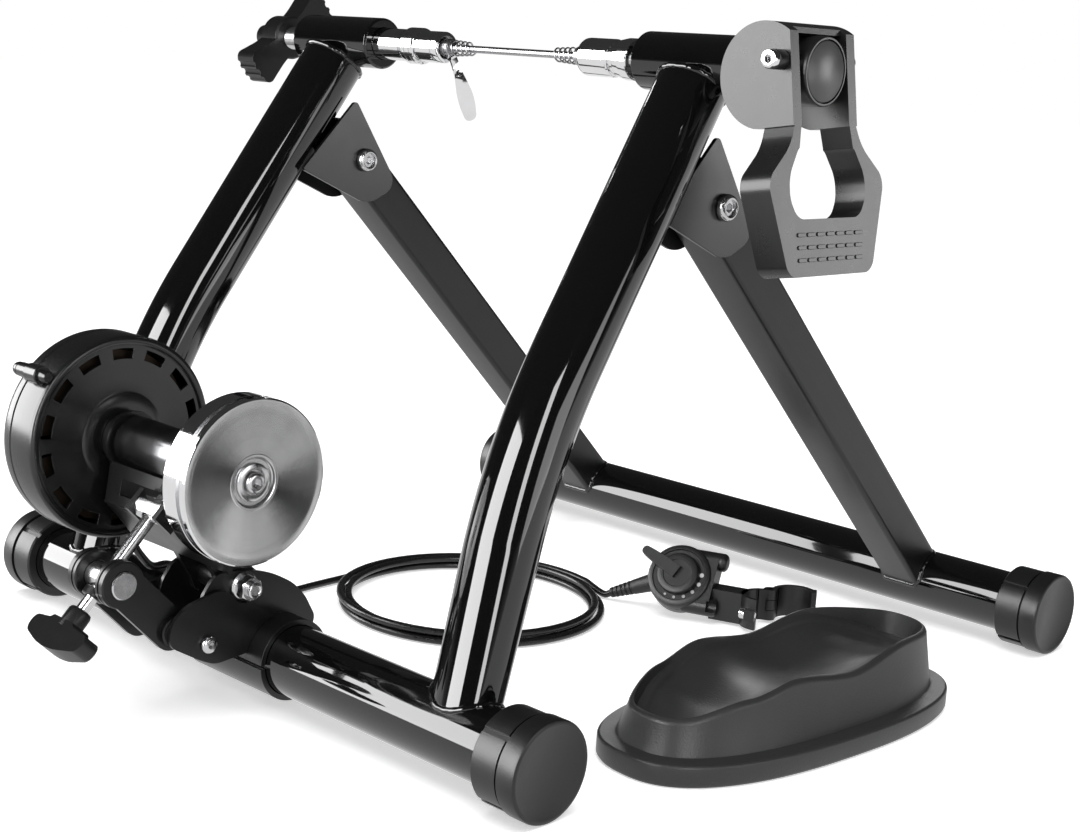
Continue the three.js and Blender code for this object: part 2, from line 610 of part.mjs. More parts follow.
// An outer plate with the arm for the tension pin welded to it over a ribbed spacer
function clampPlate(side) {
  const { plateThickness, armInner, armThickness, earInner, earRadius, armWidth } = clampBase;
  const armOuter = armInner + armThickness;
  const between = (shape, from, to) => (side < 0
    ? plate(shape, -to, -from) : plate(shape, from, to));
  const panel = between(
    sharedOutline(clampBase.outerShares, clampBase.outerReach, rearTube),
    outerPlateInner, outerPlateInner + plateThickness);
  const along = armPin.clone().sub(spacerPoint).normalize();
  const across = new THREE.Vector3(0, -along.z, along.y).multiplyScalar(armWidth / 2);
  const strapCorner = (point, sign) => {
    const corner = point.clone().addScaledVector(across, sign);
    return [corner.y, corner.z];
  };
  const strap = outline([
    strapCorner(spacerPoint, -1), strapCorner(armPin, -1),
    strapCorner(armPin, 1), strapCorner(spacerPoint, 1)]);
  const ribWidth = (outerPlateInner - armOuter) / clampBase.spacerRibs;
  const spacer = between(
    discAt(clampBase.spacerRadius - clampBase.spacerRib, spacerPoint),
    armOuter - clearance, outerPlateInner + clearance);
  const ribs = [1, clampBase.spacerRibs - 1].map((place) => between(
    discAt(clampBase.spacerRadius, spacerPoint),
    armOuter + (place - 1 / 2) * ribWidth, armOuter + (place + 1 / 2) * ribWidth));
  const solid = join(
    panel, between(strap, armInner, armOuter), spacer, ...ribs,
    between(discAt(earRadius, armPin), earInner, armOuter),
    between(discAt(armWidth / 2, spacerPoint), armInner, armOuter));
  const half = outerPlateInner + plateThickness + overrun;
  return cut(solid,
    barAt(rearTube, saddleRadius + clearance, -half, half, facets.large),
    barAt(armPin, clampBase.pinRadius + clearance, -half, half, facets.pipe),
    barAt(pivotPoint, pivotBolt.flangeRadius + 2 * clearance, -half, half, facets.pipe),
    barAt(crossBoltPoint, clampBase.crossBoltRadius + clearance, -half, half));
}

function crossBolt() {
  const { crossBoltRadius, crossHeadRadius, crossHeadHeight, plateThickness } = clampBase;
  const seat = outerPlateInner + plateThickness + clearance;
  const solid = join(
    bar(crossBoltRadius, -seat - crossHeadHeight, seat + overrun / 2),
    bar(crossHeadRadius, seat, seat + crossHeadHeight, facets.bolt),
    bar(crossHeadRadius, -seat - crossHeadHeight, -seat, facets.hex));
  const socket = socketTool(crossBoltRadius / 2, crossHeadHeight / 2)
    .translate(seat + crossHeadHeight, 0, 0);
  return placed(toGeometry(cut(solid, socket)), crossBoltPoint.toArray());
}

function unitPivotBolt() {
  const { radius, flangeRadius, flangeHeight, hexRadius, hexHeight, tipLength } = pivotBolt;
  const seat = clampBase.plateInner + clampBase.plateThickness + clearance;
  const nutEnd = seat + flangeHeight + hexHeight;
  const solid = join(
    bar(radius, -seat - overrun / 2, nutEnd + tipLength),
    bar(flangeRadius, seat, seat + flangeHeight, facets.tube),
    bar(hexRadius, seat + flangeHeight, nutEnd, facets.hex),
    bar(flangeRadius, -seat - flangeHeight, -seat, facets.tube),
    bar(hexRadius, -nutEnd, -seat - flangeHeight, facets.hex));
  return placed(toGeometry(solid), pivotPoint.toArray());
}

addPiece('tube_saddle', tubeSaddle(), 'satin');
addPiece('tube_strap', halfShell(false), 'satin');
addPiece('clamp_plate_left', clampPlate(-1), 'satin');
addPiece('clamp_plate_right', clampPlate(1), 'satin');
addPiece('cross_bolt', crossBolt(), 'chrome');
addPiece('pivot_bolt', unitPivotBolt(), 'chrome');

// Tension screw, drawn along +Z from the pin and then tilted towards the trunnion

const rodDirection = trunnionPoint.clone().sub(armPin).normalize();
const rodTilt = Math.atan2(-rodDirection.y, rodDirection.z);

function alongRod(solid) {
  return placed(toGeometry(solid), armPin.toArray(), [rodTilt, 0, 0]);
}

// A cylinder along Z from one height to another
function post(radius, from, to, sides = facets.bolt) {
  const geometry = new THREE.CylinderGeometry(radius, radius, to - from, sides);
  geometry.rotateX(Math.PI / 2);
  return geometry.translate(0, 0, (from + to) / 2);
}

function tensionPin() {
  const half = clampBase.armInner + clampBase.armThickness + clampBase.pinOverhang;
  const pin = bar(clampBase.pinRadius, -half, half, facets.pipe);
  const bore = post(tension.rodRadius + clearance, -half, half, facets.hole);
  return alongRod(cut(pin, bore));
}

function tensionScrew() {
  const {
    rodRadius, tipPast, collarRadius, collarLength, stemRadius, stemLength, barHalf,
    barWidth, barDepth, barBow, barFromPin, gripTaper,
  } = tension;
  const tip = armPin.distanceTo(trunnionPoint) + tipPast;
  const collarTop = -clampBase.pinRadius - clearance;
  const stemTop = -barFromPin + barDepth / 2 + stemLength;
  const handle = outline([
    [-barHalf, -barDepth / 2 + gripTaper, gripTaper], [0, -barDepth / 2 - barBow, barBow],
    [barHalf, -barDepth / 2 + gripTaper, gripTaper],
    [barHalf, barDepth / 2 - gripTaper, gripTaper], [0, barDepth / 2, barBow],
    [-barHalf, barDepth / 2 - gripTaper, gripTaper],
  ]);
  const grip = extrude(handle, barWidth);
  grip.translate(0, 0, -barWidth / 2);
  grip.rotateX(Math.PI / 2);
  grip.translate(0, 0, -barFromPin);
  return alongRod(join(
    post(rodRadius, -barFromPin, tip), post(collarRadius, collarTop - collarLength, collarTop),
    post(stemRadius, -barFromPin, stemTop, facets.hex), grip));
}

function trunnion() {
  const { trunnionRadius, trunnionHalfLength, trunnionEarWidth, journalRadius } = unit;
  const reach = trunnionHalfLength + clearance + trunnionEarWidth + clampBase.pinOverhang;
  const solid = join(
    bar(trunnionRadius, -trunnionHalfLength, trunnionHalfLength, facets.pipe),
    bar(journalRadius, -reach, reach));
  const bore = post(tension.rodRadius + unit.rodPlay, -reach, reach, facets.hole)
    .rotateX(rodTilt);
  return placed(toGeometry(cut(solid, bore)), trunnionPoint.toArray());
}

addPiece('tension_pin', tensionPin(), 'steel');
addPiece('tension_screw', tensionScrew(), 'plastic');

// Resistance unit, which swings on the pivot bolt

const resistanceUnit = new THREE.Group();
trainer.add(resistanceUnit);

// A thin wall along X whose middle line runs from one corner to the other
function yokeWeb(first, second, from, to) {
  const mid = first.clone().add(second).multiplyScalar(1 / 2);
  const span = second.clone().sub(first);
  const wall = block(to - from, span.length() + unit.webThickness, unit.webThickness);
  return placed(wall, [(from + to) / 2, mid.y, mid.z], [Math.atan2(span.z, span.y), 0, 0]);
}

function yokeCorner(share) {
  return new THREE.Vector3(
    0, unitAxis.y + share[0] * unit.yokeDrop, unitAxis.z + share[1] * unit.yokeDrop);
}

function yoke() {
  const { cheekLeft, cheekRight, cheekThickness, bossRadius, bossLength, lugInner } = unit;
  const right = cheekRight + cheekThickness;
  const flank = sharedOutline(unit.cheekShares, unit.yokeDrop, unitAxis);
  const [front, toe, heel] = [0, 1, 2].map((i) => yokeCorner(unit.cheekShares[i]));
  const lug = outline([
    [toe.y, toe.z], [heel.y, heel.z],
    ...unit.lugShares.map(([ahead, above]) => [
      pivotPoint.y + ahead * unit.lugRadius, pivotPoint.z + above * unit.lugRadius]),
    [yokeCorner(unit.cheekShares[3]).y, yokeCorner(unit.cheekShares[3]).z],
  ]);
  const cheeks = [[cheekLeft, cheekLeft + cheekThickness], [cheekRight, right]].flatMap(
    ([from, to]) => [
      plate(flank, from, to), barAt(unitAxis, bossRadius + cheekThickness, from, to, facets.tube)]);
  const ears = wallPair(
    discAt(unit.trunnionEar, trunnionPoint), unit.trunnionHalfLength + clearance,
    unit.trunnionEarWidth, facets.corner);
  const tubeHalf = lugInner + unit.lugThickness;
  const solid = join(
    ...cheeks, ...ears, ...wallPair(lug, lugInner, unit.lugThickness),
    ...wallPair(discAt(unit.lugRadius, pivotPoint), lugInner, unit.lugThickness, facets.corner * 2),
    barAt(pivotPoint, pivotBolt.radius + unit.webThickness, -tubeHalf, tubeHalf, facets.pipe),
    barAt(unitAxis, bossRadius, cheekLeft - bossLength, cheekLeft + cheekThickness, facets.tube),
    barAt(unitAxis, bossRadius, cheekRight, right + bossLength, facets.tube),
    yokeWeb(front, toe, cheekLeft, right), yokeWeb(toe, heel, cheekLeft, right));
  const windowHeight = front.distanceTo(toe) * unit.windowShare;
  const window = placed(
    block(right - cheekLeft - 2 * unit.windowMargin, windowHeight, 2 * overrun),
    [(cheekLeft + right) / 2,
      toe.y + (front.y - toe.y) * unit.windowPlaceShare,
      toe.z + (front.z - toe.z) * unit.windowPlaceShare],
    [Math.atan2(toe.z - front.z, toe.y - front.y), 0, 0]);
  const rodRoom = placed(
    post(tension.rodRadius + 2 * unit.rodPlay, -2 * overrun, 3 * overrun).rotateX(rodTilt),
    trunnionPoint.toArray());
  return cut(solid, window, rodRoom,
    barAt(unitAxis, roller.radius + unit.rollerPlay, cheekLeft + cheekThickness, cheekRight,
      facets.large),
    barAt(unitAxis, unit.bearingRadius + clearance, cheekLeft - 2 * overrun,
      right + 2 * overrun, facets.tube),
    barAt(trunnionPoint, unit.trunnionRadius + unit.rodPlay,
      -unit.trunnionHalfLength - clearance, unit.trunnionHalfLength + clearance, facets.pipe),
    barAt(trunnionPoint, unit.journalRadius + clearance, -right, right, facets.hole),
    barAt(pivotPoint, pivotBolt.radius + clearance, -right, right, facets.hole));
}

function bearing(from) {
  return placed(
    ring(unit.bearingRadius, unit.shaftRadius + clearance, from, from + unit.bearingWidth),
    unitAxis.toArray());
}

function rollerWithShaft() {
  const left = unit.cheekLeft + unit.cheekThickness + roller.endGap;
  const right = unit.cheekRight - roller.endGap;
  const { radius, endChamfer, shaftLeft, shaftRight } = roller;
  return placed(turned([
    [shaftLeft, 0], [shaftLeft, unit.shaftRadius], [left, unit.shaftRadius],
    [left, radius - endChamfer], [left + endChamfer, radius], [right - endChamfer, radius],
    [right, radius - endChamfer], [right, unit.shaftRadius], [shaftRight, unit.shaftRadius],
    [shaftRight, 0],
  ], facets.tube), unitAxis.toArray());
}

function flywheelDisc() {
  const {
    radius, innerFace, outerFace, bevel, grooveStart, grooveWidth, grooveDepth, faceDip,
    faceDipRadius, hubRingRadius, hubRadius, hubDip, backPocketRadius, backPocketDepth,
    hubBossRadius,
  } = flywheel;
  const bore = unit.shaftRadius + clearance;
  const grooveAt = innerFace + grooveStart;
  const hubFace = unit.cheekRight + unit.cheekThickness + unit.bossLength + clearance;
  const pocket = innerFace + backPocketDepth;
  return placed(turned([
    [hubFace, bore], [hubFace, hubBossRadius], [pocket, hubBossRadius],
    [pocket, backPocketRadius], [innerFace, backPocketRadius],
    [innerFace, radius - bevel], [innerFace + bevel, radius],
    [grooveAt, radius], [grooveAt, radius - grooveDepth],
    [grooveAt + grooveWidth, radius - grooveDepth], [grooveAt + grooveWidth, radius],
    [outerFace - bevel, radius], [outerFace, radius - bevel],
    [outerFace, faceDipRadius], [outerFace - faceDip, hubRingRadius],
    [outerFace - hubDip, hubRadius], [outerFace - hubDip, bore], [hubFace, bore],
  ]), unitAxis.toArray());
}

// The socket screw that holds the flywheel sits on its hub over the end of the shaft
function flywheelScrew() {
  const { outerFace, hubDip, screwRadius, screwHeight, socketRadius, socketDepth } = flywheel;
  const seat = outerFace - hubDip + clearance;
  const screw = bar(screwRadius, seat, seat + screwHeight, facets.tube);
  const socket = socketTool(socketRadius, socketDepth).translate(seat + screwHeight, 0, 0);
  return placed(toGeometry(cut(screw, socket)), unitAxis.toArray());
}

// A piece on the drum's edge at an angle in Y and Z, measured from +Y towards +Z
function onDrum(geometry, angle, distance) {
  const turnedBy = angle * degree;
  return placed(geometry, [
    0, unitAxis.y + distance * Math.cos(turnedBy), unitAxis.z + distance * Math.sin(turnedBy),
  ], [turnedBy, 0, 0]);
}

// The dished cover faces the roller and has a ring of vent slots
function drumCover() {
  const {
    radius, face, seam, wall, faceDishRadius, faceDish, hubRadius, shaftHoleRadius, rimBevel,
    slotCount, slotLength, slotWidth, slotRadius, seamStep,
  } = drum;
  const end = seam + clearance;
  const body = placed(turned([
    [end, radius - wall], [end, radius], [face - rimBevel, radius], [face, radius - rimBevel],
    [face, faceDishRadius], [face - faceDish, faceDishRadius - seamStep],
    [face - faceDish, hubRadius + seamStep], [face, hubRadius], [face, shaftHoleRadius],
    [face - faceDish - wall, shaftHoleRadius], [face - faceDish - wall, radius - wall],
    [end, radius - wall],
  ]), unitAxis.toArray());
  const slots = Array.from({ length: slotCount }, (_, i) => onDrum(
    block(2 * overrun, slotWidth, slotLength, [face, 0, 0]),
    (i + 1 / 2) * 360 / slotCount, slotRadius));
  return cut(body, ...slots);
}

function drumHousing() {
  const {
    radius, seam, back, wall, coverDome, coverRingRadius, stopAngle, stopLength, stopRadius,
    stopLift, stopTipLength, stopTipRadius, glandAngle, glandLength, glandRadius,
    glandTipRadius,
  } = drum;
  const inside = back + wall;
  const shell = turned([
    [seam, radius - wall], [seam, radius], [back + coverDome, radius],
    [back, radius - coverDome], [back, coverRingRadius + wall],
    [back - wall, coverRingRadius], [back - wall, 0],
    [inside, 0], [inside, radius - wall], [seam, radius - wall],
  ]);
  const stopEnd = back + stopLength;
  const stop = onDrum(
    join(bar(stopRadius, back, stopEnd), bar(stopTipRadius, stopEnd - overrun,
      stopEnd + stopTipLength)), stopAngle, radius + stopLift);
  // A tapering strain relief that ends on the line of the pivot, where the cable starts
  const relief = turned([
    [-wall, 0], [-wall, glandRadius], [glandLength * drum.glandNeckShare, glandRadius],
    [glandLength, glandTipRadius], [glandLength, 0],
  ], facets.bolt);
  const gland = onDrum(
    placed(relief, [(back + seam) / 2, 0, 0], [0, 0, Math.PI / 2]), glandAngle, radius);
  const fittings = cut(join(stop, gland),
    barAt(unitAxis, radius - wall / 2, inside, seam + overrun, facets.large),
    barAt(unitAxis, radius + clearance, seam, stopEnd + overrun, facets.large));
  // The magnet carrier turns on a sleeve round the end of the shaft
  const sleeve = ring(brake.carrierBore - clearance, unit.shaftRadius + clearance,
    inside - wall / 2, brake.carrierFace);
  return join(placed(toGeometry(join(shell, sleeve)), unitAxis.toArray()), fittings);
}

function eddyDisc() {
  const bore = unit.shaftRadius + clearance;
  const { discRadius, discThickness, discFace, hubRadius } = brake;
  return placed(turned([
    [discFace - discThickness, bore], [discFace - discThickness, discRadius],
    [discFace, discRadius], [discFace, hubRadius], [discFace + discThickness, hubRadius],
    [discFace + discThickness, bore], [discFace - discThickness, bore],
  ], facets.tube), unitAxis.toArray());
}

function magnetCarrier() {
  const {
    carrierRadius, carrierThickness, carrierFace, magnetCount, magnetRadius, magnetHeight,
    magnetRing, carrierBore,
  } = brake;
  const plateRing = ring(carrierRadius, carrierBore, carrierFace - carrierThickness, carrierFace);
  const magnets = Array.from({ length: magnetCount }, (_, i) => onDrum(
    bar(magnetRadius, carrierFace - clearance, carrierFace + magnetHeight, facets.bolt / 2),
    i * 360 / magnetCount, magnetRing));
  return join(placed(plateRing, unitAxis.toArray()), ...magnets);
}

addPiece('unit_yoke', yoke(), 'satin', resistanceUnit);
addPiece('trunnion', trunnion(), 'steel', resistanceUnit);
addPiece('bearing_left', bearing(unit.cheekLeft - unit.bossLength), 'steel', resistanceUnit);
addPiece('bearing_right',
  bearing(unit.cheekRight + unit.cheekThickness + unit.bossLength - unit.bearingWidth),
  'steel', resistanceUnit);
addPiece('drum_cover', drumCover(), 'plastic', resistanceUnit);
addPiece('drum_housing', drumHousing(), 'plastic', resistanceUnit);
addPiece('magnet_carrier', magnetCarrier(), 'steel', resistanceUnit);
const rotor = new THREE.Group();
resistanceUnit.add(rotor);
addPiece('roller', rollerWithShaft(), 'chrome', rotor);
addPiece('flywheel', flywheelDisc(), 'steel', rotor);
addPiece('flywheel_screw', flywheelScrew(), 'chrome', rotor);
addPiece('eddy_disc', eddyDisc(), 'steel', rotor);

// Wound tubes

// A closed tube with a ring of points round each place; the reference direction is never
// along the tube, and turns the rings the same way throughout
function woundTube(places, radius, sides, reference) {
  const points = [];
  const triangles = [];
  places.forEach((place, i) => {
    const along = places[Math.min(i + 1, places.length - 1)].clone()
      .sub(places[Math.max(i - 1, 0)]).normalize();
    const first = reference.clone().cross(along).normalize();
    const second = along.clone().cross(first);
    for (let k = 0; k < sides; k += 1) {
      const angle = k * turn / sides;
      const point = place.clone().addScaledVector(first, radius * Math.cos(angle))
        .addScaledVector(second, radius * Math.sin(angle));
      points.push(point.x, point.y, point.z);
    }
  });
  for (let i = 0; i < places.length - 1; i += 1) {
    for (let k = 0; k < sides; k += 1) {
      const [a, b] = [i * sides + k, i * sides + (k + 1) % sides];
      triangles.push(a, b, b + sides, a, b + sides, a + sides);
    }
  }
  const last = (places.length - 1) * sides;
  for (let k = 1; k < sides - 1; k += 1) {
    triangles.push(0, k + 1, k, last, last + k, last + k + 1);
  }
  const geometry = new THREE.BufferGeometry();
  geometry.setAttribute('position', new THREE.Float32BufferAttribute(points, 3));
  geometry.setIndex(triangles);
  geometry.computeVertexNormals();
  return geometry;
}

// The same places with a straight run of one tube diameter at each end
function withStraightEnds(places, radius) {
  const beyond = (end, inner) =>
    end.clone().add(end.clone().sub(inner).setLength(2 * radius));
  return [beyond(places[0], places[1]), ...places, beyond(places.at(-1), places.at(-2))];
}

// The least gap between turns: places less than half a turn apart are neighbours
function leastGap(places, radius, stepsPerTurn) {
  let least = Infinity;
  for (let i = 0; i < places.length; i += 1) {
    for (let k = i + Math.ceil(stepsPerTurn / 2); k < places.length; k += 1) {
      least = Math.min(least, places[i].distanceTo(places[k]));
    }
  }
  return least - 2 * radius;
}

// Axle cups

const axleLine = new THREE.Vector3(0, 0, stand.axleHeight);

function onAxle(solid) {
  return placed(toGeometry(solid), axleLine.toArray());
}

function leftAxleCup() {
  const {
    face, cupRadius, cupLength, collarRadius, collarLength, sleeveRadius, sleeveLength,
    holeRadius, holeDepth, step,
  } = leftCup;
  const cupEnd = face - cupLength;
  const collarEnd = cupEnd - collarLength;
  const sleeveEnd = collarEnd - sleeveLength;
  return onAxle(turned([
    [sleeveEnd, 0], [sleeveEnd, sleeveRadius], [collarEnd, sleeveRadius],
    [collarEnd, collarRadius - step], [collarEnd + step, collarRadius],
    [cupEnd - step, collarRadius], [cupEnd, collarRadius - step], [cupEnd, cupRadius],
    [face - step, cupRadius], [face, cupRadius - step], [face, holeRadius],
    [face - holeDepth, holeRadius], [face - holeDepth, 0],
  ], facets.tube));
}

function rightAxleCup() {
  const {
    face, cupRadius, cupLength, grooveLength, grooveRadius, collarRadius, collarLength,
    shaftRadius, shaftInset, holeRadius, holeDepth, step,
  } = rightCup;
  const shaftEnd = barrel.outerEnd - shaftInset;
  const cupEnd = face + cupLength;
  const grooveEnd = cupEnd + grooveLength;
  const collarEnd = grooveEnd + collarLength;
  return onAxle(turned([
    [face + holeDepth, 0], [face + holeDepth, holeRadius], [face, holeRadius],
    [face, cupRadius - step], [face + step, cupRadius], [cupEnd - step, cupRadius],
    [cupEnd, cupRadius - step], [cupEnd, grooveRadius], [grooveEnd, grooveRadius],
    [grooveEnd, collarRadius - step], [grooveEnd + step, collarRadius],
    [collarEnd - step, collarRadius], [collarEnd, collarRadius - step],
    [collarEnd, shaftRadius], [shaftEnd, shaftRadius], [shaftEnd, 0],
  ], facets.tube));
}

function leftKnob() {
  const {
    screwRadius, screwShown, wingThickness, hubRadius, hubLength, coreRadius, wingReach,
    tipWidth, neckWidth, angle, gripCount, gripRadius,
  } = knob;
  const innerFace = barrel.outerEnd + screwShown;
  const wing = outline([
    [0, -neckWidth / 2], [coreRadius, -neckWidth / 2, gripRadius],
    [wingReach - gripRadius, -tipWidth / 2, gripRadius], [wingReach, 0, tipWidth / 2],
    [wingReach - gripRadius, tipWidth / 2, gripRadius],
    [coreRadius, neckWidth / 2, gripRadius], [0, neckWidth / 2],
  ]);
  const outer = -innerFace - wingThickness;
  const wings = [0, 1].map((i) => plate(wing, outer, -innerFace).rotateX(i * Math.PI));
  const grips = [];
  for (let i = 0; i < 2 * gripCount; i += 1) {
    const place = (i % gripCount - (gripCount - 1) / 2) * tipWidth / (gripCount + 1);
    const groove = placed(
      bar(gripRadius, outer - overrun, -innerFace + overrun, facets.hex), [0, wingReach, place]);
    grips.push(groove.rotateX(Math.floor(i / gripCount) * Math.PI));
  }
  const screwEnd = leftCup.face - leftCup.cupLength - leftCup.collarLength
    - leftCup.sleeveLength - clearance;
  const solid = cut(join(
    ...wings, bar(coreRadius, outer, -innerFace, facets.tube),
    bar(hubRadius, outer - hubLength, outer + overrun, facets.tube),
    bar(screwRadius, -innerFace - overrun, screwEnd, facets.pipe)), ...grips);
  return onAxle(toGeometry(solid).rotateX(angle * degree));
}

// Quick-release skewer with its cam lever and two conical springs

const skewerHeadFace = leftCup.face - skewer.headInset;
const skewerNutFace = rightCup.face + skewer.nutInset;

function skewerHead() {
  const { rodRadius, headRadius, headLength, nutLength } = skewer;
  const solid = join(
    bar(headRadius, skewerHeadFace, skewerHeadFace + headLength, facets.pipe),
    bar(rodRadius, skewerHeadFace, skewerNutFace - nutLength - clearance / 2, facets.hex));
  const flat = block(
    headLength, 2 * headRadius + overrun, headRadius,
    [skewerHeadFace + skewer.headInset + clearance + headLength / 2, 0,
      -skewer.flatBelow - headRadius / 2]);
  return onAxle(toGeometry(cut(solid, flat)).rotateX(skewer.leverAngle * degree));
}

function skewerNut() {
  const { nutRadius, nutLength, rodRadius, knurlStep } = skewer;
  const inner = skewerNutFace - nutLength;
  return onAxle(turned([
    [inner, 0], [inner, nutRadius - knurlStep], [inner + knurlStep, nutRadius],
    [skewerNutFace - knurlStep, nutRadius], [skewerNutFace, nutRadius - knurlStep],
    [skewerNutFace, rodRadius], [skewerNutFace, 0],
  ], facets.pipe));
}

// Drawn hanging along -Z from its cam; the mesh leans by the lever's angle
function skewerLever() {
  const { leverLength, leverWidth, leverNeck, leverThickness, camRadius } = skewer;
  const widest = -leverLength * skewer.widestShare;
  const blade = outline([
    [-leverNeck / 2, 0], [-leverWidth / 2, widest, leverWidth],
    [-leverWidth / 2, -leverLength, leverWidth / 2],
    [leverWidth / 2, -leverLength, leverWidth / 2],
    [leverWidth / 2, widest, leverWidth], [leverNeck / 2, 0],
  ]);
  const cam = bar(camRadius, -leverNeck / 2, leverNeck / 2, facets.bolt).rotateZ(Math.PI / 2);
  return join(plate(blade, -leverThickness / 2, leverThickness / 2), cam);
}

function conicalSpring(from, wide, narrow) {
  const { wire, turns, length, curlSteps, sides } = spring;
  const steps = turns * curlSteps;
  const places = Array.from({ length: steps + 1 }, (_, i) => {
    const share = i / steps;
    const radius = wide + (narrow - wide) * share;
    const angle = share * turns * turn;
    return new THREE.Vector3(
      from + length * share, radius * Math.cos(angle), radius * Math.sin(angle));
  });
  console.log(`spring: least gap ${leastGap(places, wire, curlSteps).toFixed(2)} mm`);
  return onAxle(woundTube(
    withStraightEnds(places, wire), wire, sides, new THREE.Vector3(1, 0, 0)));
}

const leftCupGroup = new THREE.Group();
trainer.add(leftCupGroup);
addPiece('left_cup', leftAxleCup(), 'chrome', leftCupGroup);
addPiece('left_knob', leftKnob(), 'plastic', leftCupGroup);
addPiece('skewer_rod', skewerHead(), 'chrome', leftCupGroup);
addPiece('skewer_nut', skewerNut(), 'chrome', leftCupGroup);
addPiece('spring_left', conicalSpring(
  skewerHeadFace + skewer.headLength + spring.gap + 2 * spring.wire,
  spring.coilWide, spring.coilNarrow), 'steel', leftCupGroup);
addPiece('spring_right', conicalSpring(
  skewerNutFace - skewer.nutLength - spring.gap - spring.length - 2 * spring.wire,
  spring.coilNarrow, spring.coilWide), 'steel', leftCupGroup);
const skewerLeverMesh = addPiece('skewer_lever', skewerLever(), 'chrome', leftCupGroup);
const leverSwing = skewer.leverAngle * degree;
const leverDrop = skewer.flatBelow + clearance + skewer.camRadius;
skewerLeverMesh.rotation.x = leverSwing;
skewerLeverMesh.position.set(
  leftCup.face + skewer.leverAhead, leverDrop * Math.sin(leverSwing),
  stand.axleHeight - leverDrop * Math.cos(leverSwing));
addPiece('right_cup', rightAxleCup(), 'chrome');

// Quick-release lever on the right barrel

// A wall drawn in X and Z, from one Y to the other
function wall(shape, from, to, curveSegments) {
  const geometry = extrude(shape, to - from, curveSegments);
  const basis = new THREE.Matrix4().makeBasis(
    new THREE.Vector3(1, 0, 0), new THREE.Vector3(0, 0, 1), new THREE.Vector3(0, -1, 0));
  geometry.applyMatrix4(basis);
  return geometry.translate(0, to, 0);
}

const releasePinPoint = new THREE.Vector3(
  release.pinSide, 0, stand.axleHeight + release.pinAbove);

function plungerHousing() {
  const { radius, end, chamfer } = plunger;
  const start = barrel.outerEnd + clearance;
  const body = onAxle(turned([
    [start, 0], [start, radius - chamfer], [start + chamfer, radius], [end - chamfer, radius],
    [end, radius - chamfer], [end, 0],
  ], facets.large));
  // The slot round the hub lets the lever's hood pass when the lever is opened
  const sweepRadius = release.hubRadius + release.hubGap + release.hoodReach;
  const slot = cut(
    wall(discShape(sweepRadius), -radius - overrun, radius + overrun, facets.large / 2),
    wall(discShape(release.hubRadius), -radius - 2 * overrun, radius + 2 * overrun,
      facets.large / 2),
    block(sweepRadius + overrun, 4 * radius, 4 * radius,
      [(sweepRadius + overrun) / 2 + release.hubGap, 0, 0]),
    block(4 * radius, 4 * radius, 2 * radius, [0, 0, -radius - release.slotDrop]));
  const pinHole = wall(
    discShape(release.pinRadius + clearance), -radius - overrun, radius + overrun,
    facets.hole / 2);
  return cut(body,
    placed(toGeometry(slot), releasePinPoint.toArray()),
    placed(pinHole, releasePinPoint.toArray()));
}

function plungerCap() {
  const face = plunger.end + clearance;
  return onAxle(bar(plunger.capRadius, face, face + plunger.capThickness, facets.large));
}

// The side of the lever: a round ear with a flat front, drawn in X and Z from the pin
function earSide() {
  const { earBack, earDrop, earRadius, front, depth, neckDrop } = release;
  const shape = new THREE.Shape();
  const top = Math.acos((front + earBack) / earRadius);
  const bottom = Math.PI + Math.asin((neckDrop - earDrop) / earRadius);
  shape.absarc(-earBack, -earDrop, earRadius, top, bottom, false);
  shape.lineTo(front - depth, -neckDrop);
  shape.lineTo(front, -neckDrop);
  shape.closePath();
  return shape;
}

function releaseLever() {
  const {
    earInner, earOuter, front, depth, neckDrop, hoodBack, hubRadius, hubGap, pinRadius,
    ribCount, ribLength, ribWidth, ribHeight, ribPitch, ribAboveEdge, cornerRound,
  } = release;
  const {
    waistDrop, waistHalf, shoulderDrop, shoulderHalf, bottomDrop, bottomHalf, holeTopHalf,
    holeTopDrop, holeHalf, holeWideDrop, holeLowDrop, holeBottomHalf, holeBottomDrop,
  } = handShape;
  const joinDrop = neckDrop - release.neckOverlap;
  const half = [
    [earInner, -joinDrop], [earOuter, -joinDrop], [waistHalf, -waistDrop, cornerRound],
    [shoulderHalf, -shoulderDrop, cornerRound], [bottomHalf, -bottomDrop, cornerRound],
  ];
  const inside = [
    [holeBottomHalf, -holeBottomDrop, cornerRound], [holeHalf, -holeLowDrop, cornerRound / 2],
    [holeHalf, -holeWideDrop, cornerRound], [holeTopHalf, -holeTopDrop, cornerRound / 2],
  ];
  const mirrored = (corners) => corners.map(([y, z, rounding]) => [-y, z, rounding]);
  const frame = outline([
    ...half, ...mirrored(half).reverse(), ...mirrored(inside).reverse(), ...inside,
  ]);
  const ears = [[-earOuter, -earInner], [earInner, earOuter]].map(
    ([from, to]) => wall(earSide(), from, to, facets.tube));
  const hood = common(
    wall(earSide(), -earInner - clearance, earInner + clearance, facets.tube),
    block(front + hoodBack, 2 * earOuter, 2 * neckDrop, [(front - hoodBack) / 2, 0, neckDrop]));
  const hoodRoom = wall(
    discShape(hubRadius + hubGap), -earInner, earInner, facets.large / 2);
  const ribs = Array.from({ length: ribCount }, (_, i) => block(
    2 * ribHeight, ribLength, ribWidth,
    [front, 0, -bottomDrop + ribAboveEdge + i * ribPitch]));
  return cut(
    join(plate(frame, front - depth, front), ...ears, cut(hood, hoodRoom), ...ribs),
    wall(discShape(pinRadius + clearance), -earOuter - overrun, earOuter + overrun,
      facets.hole / 2));
}

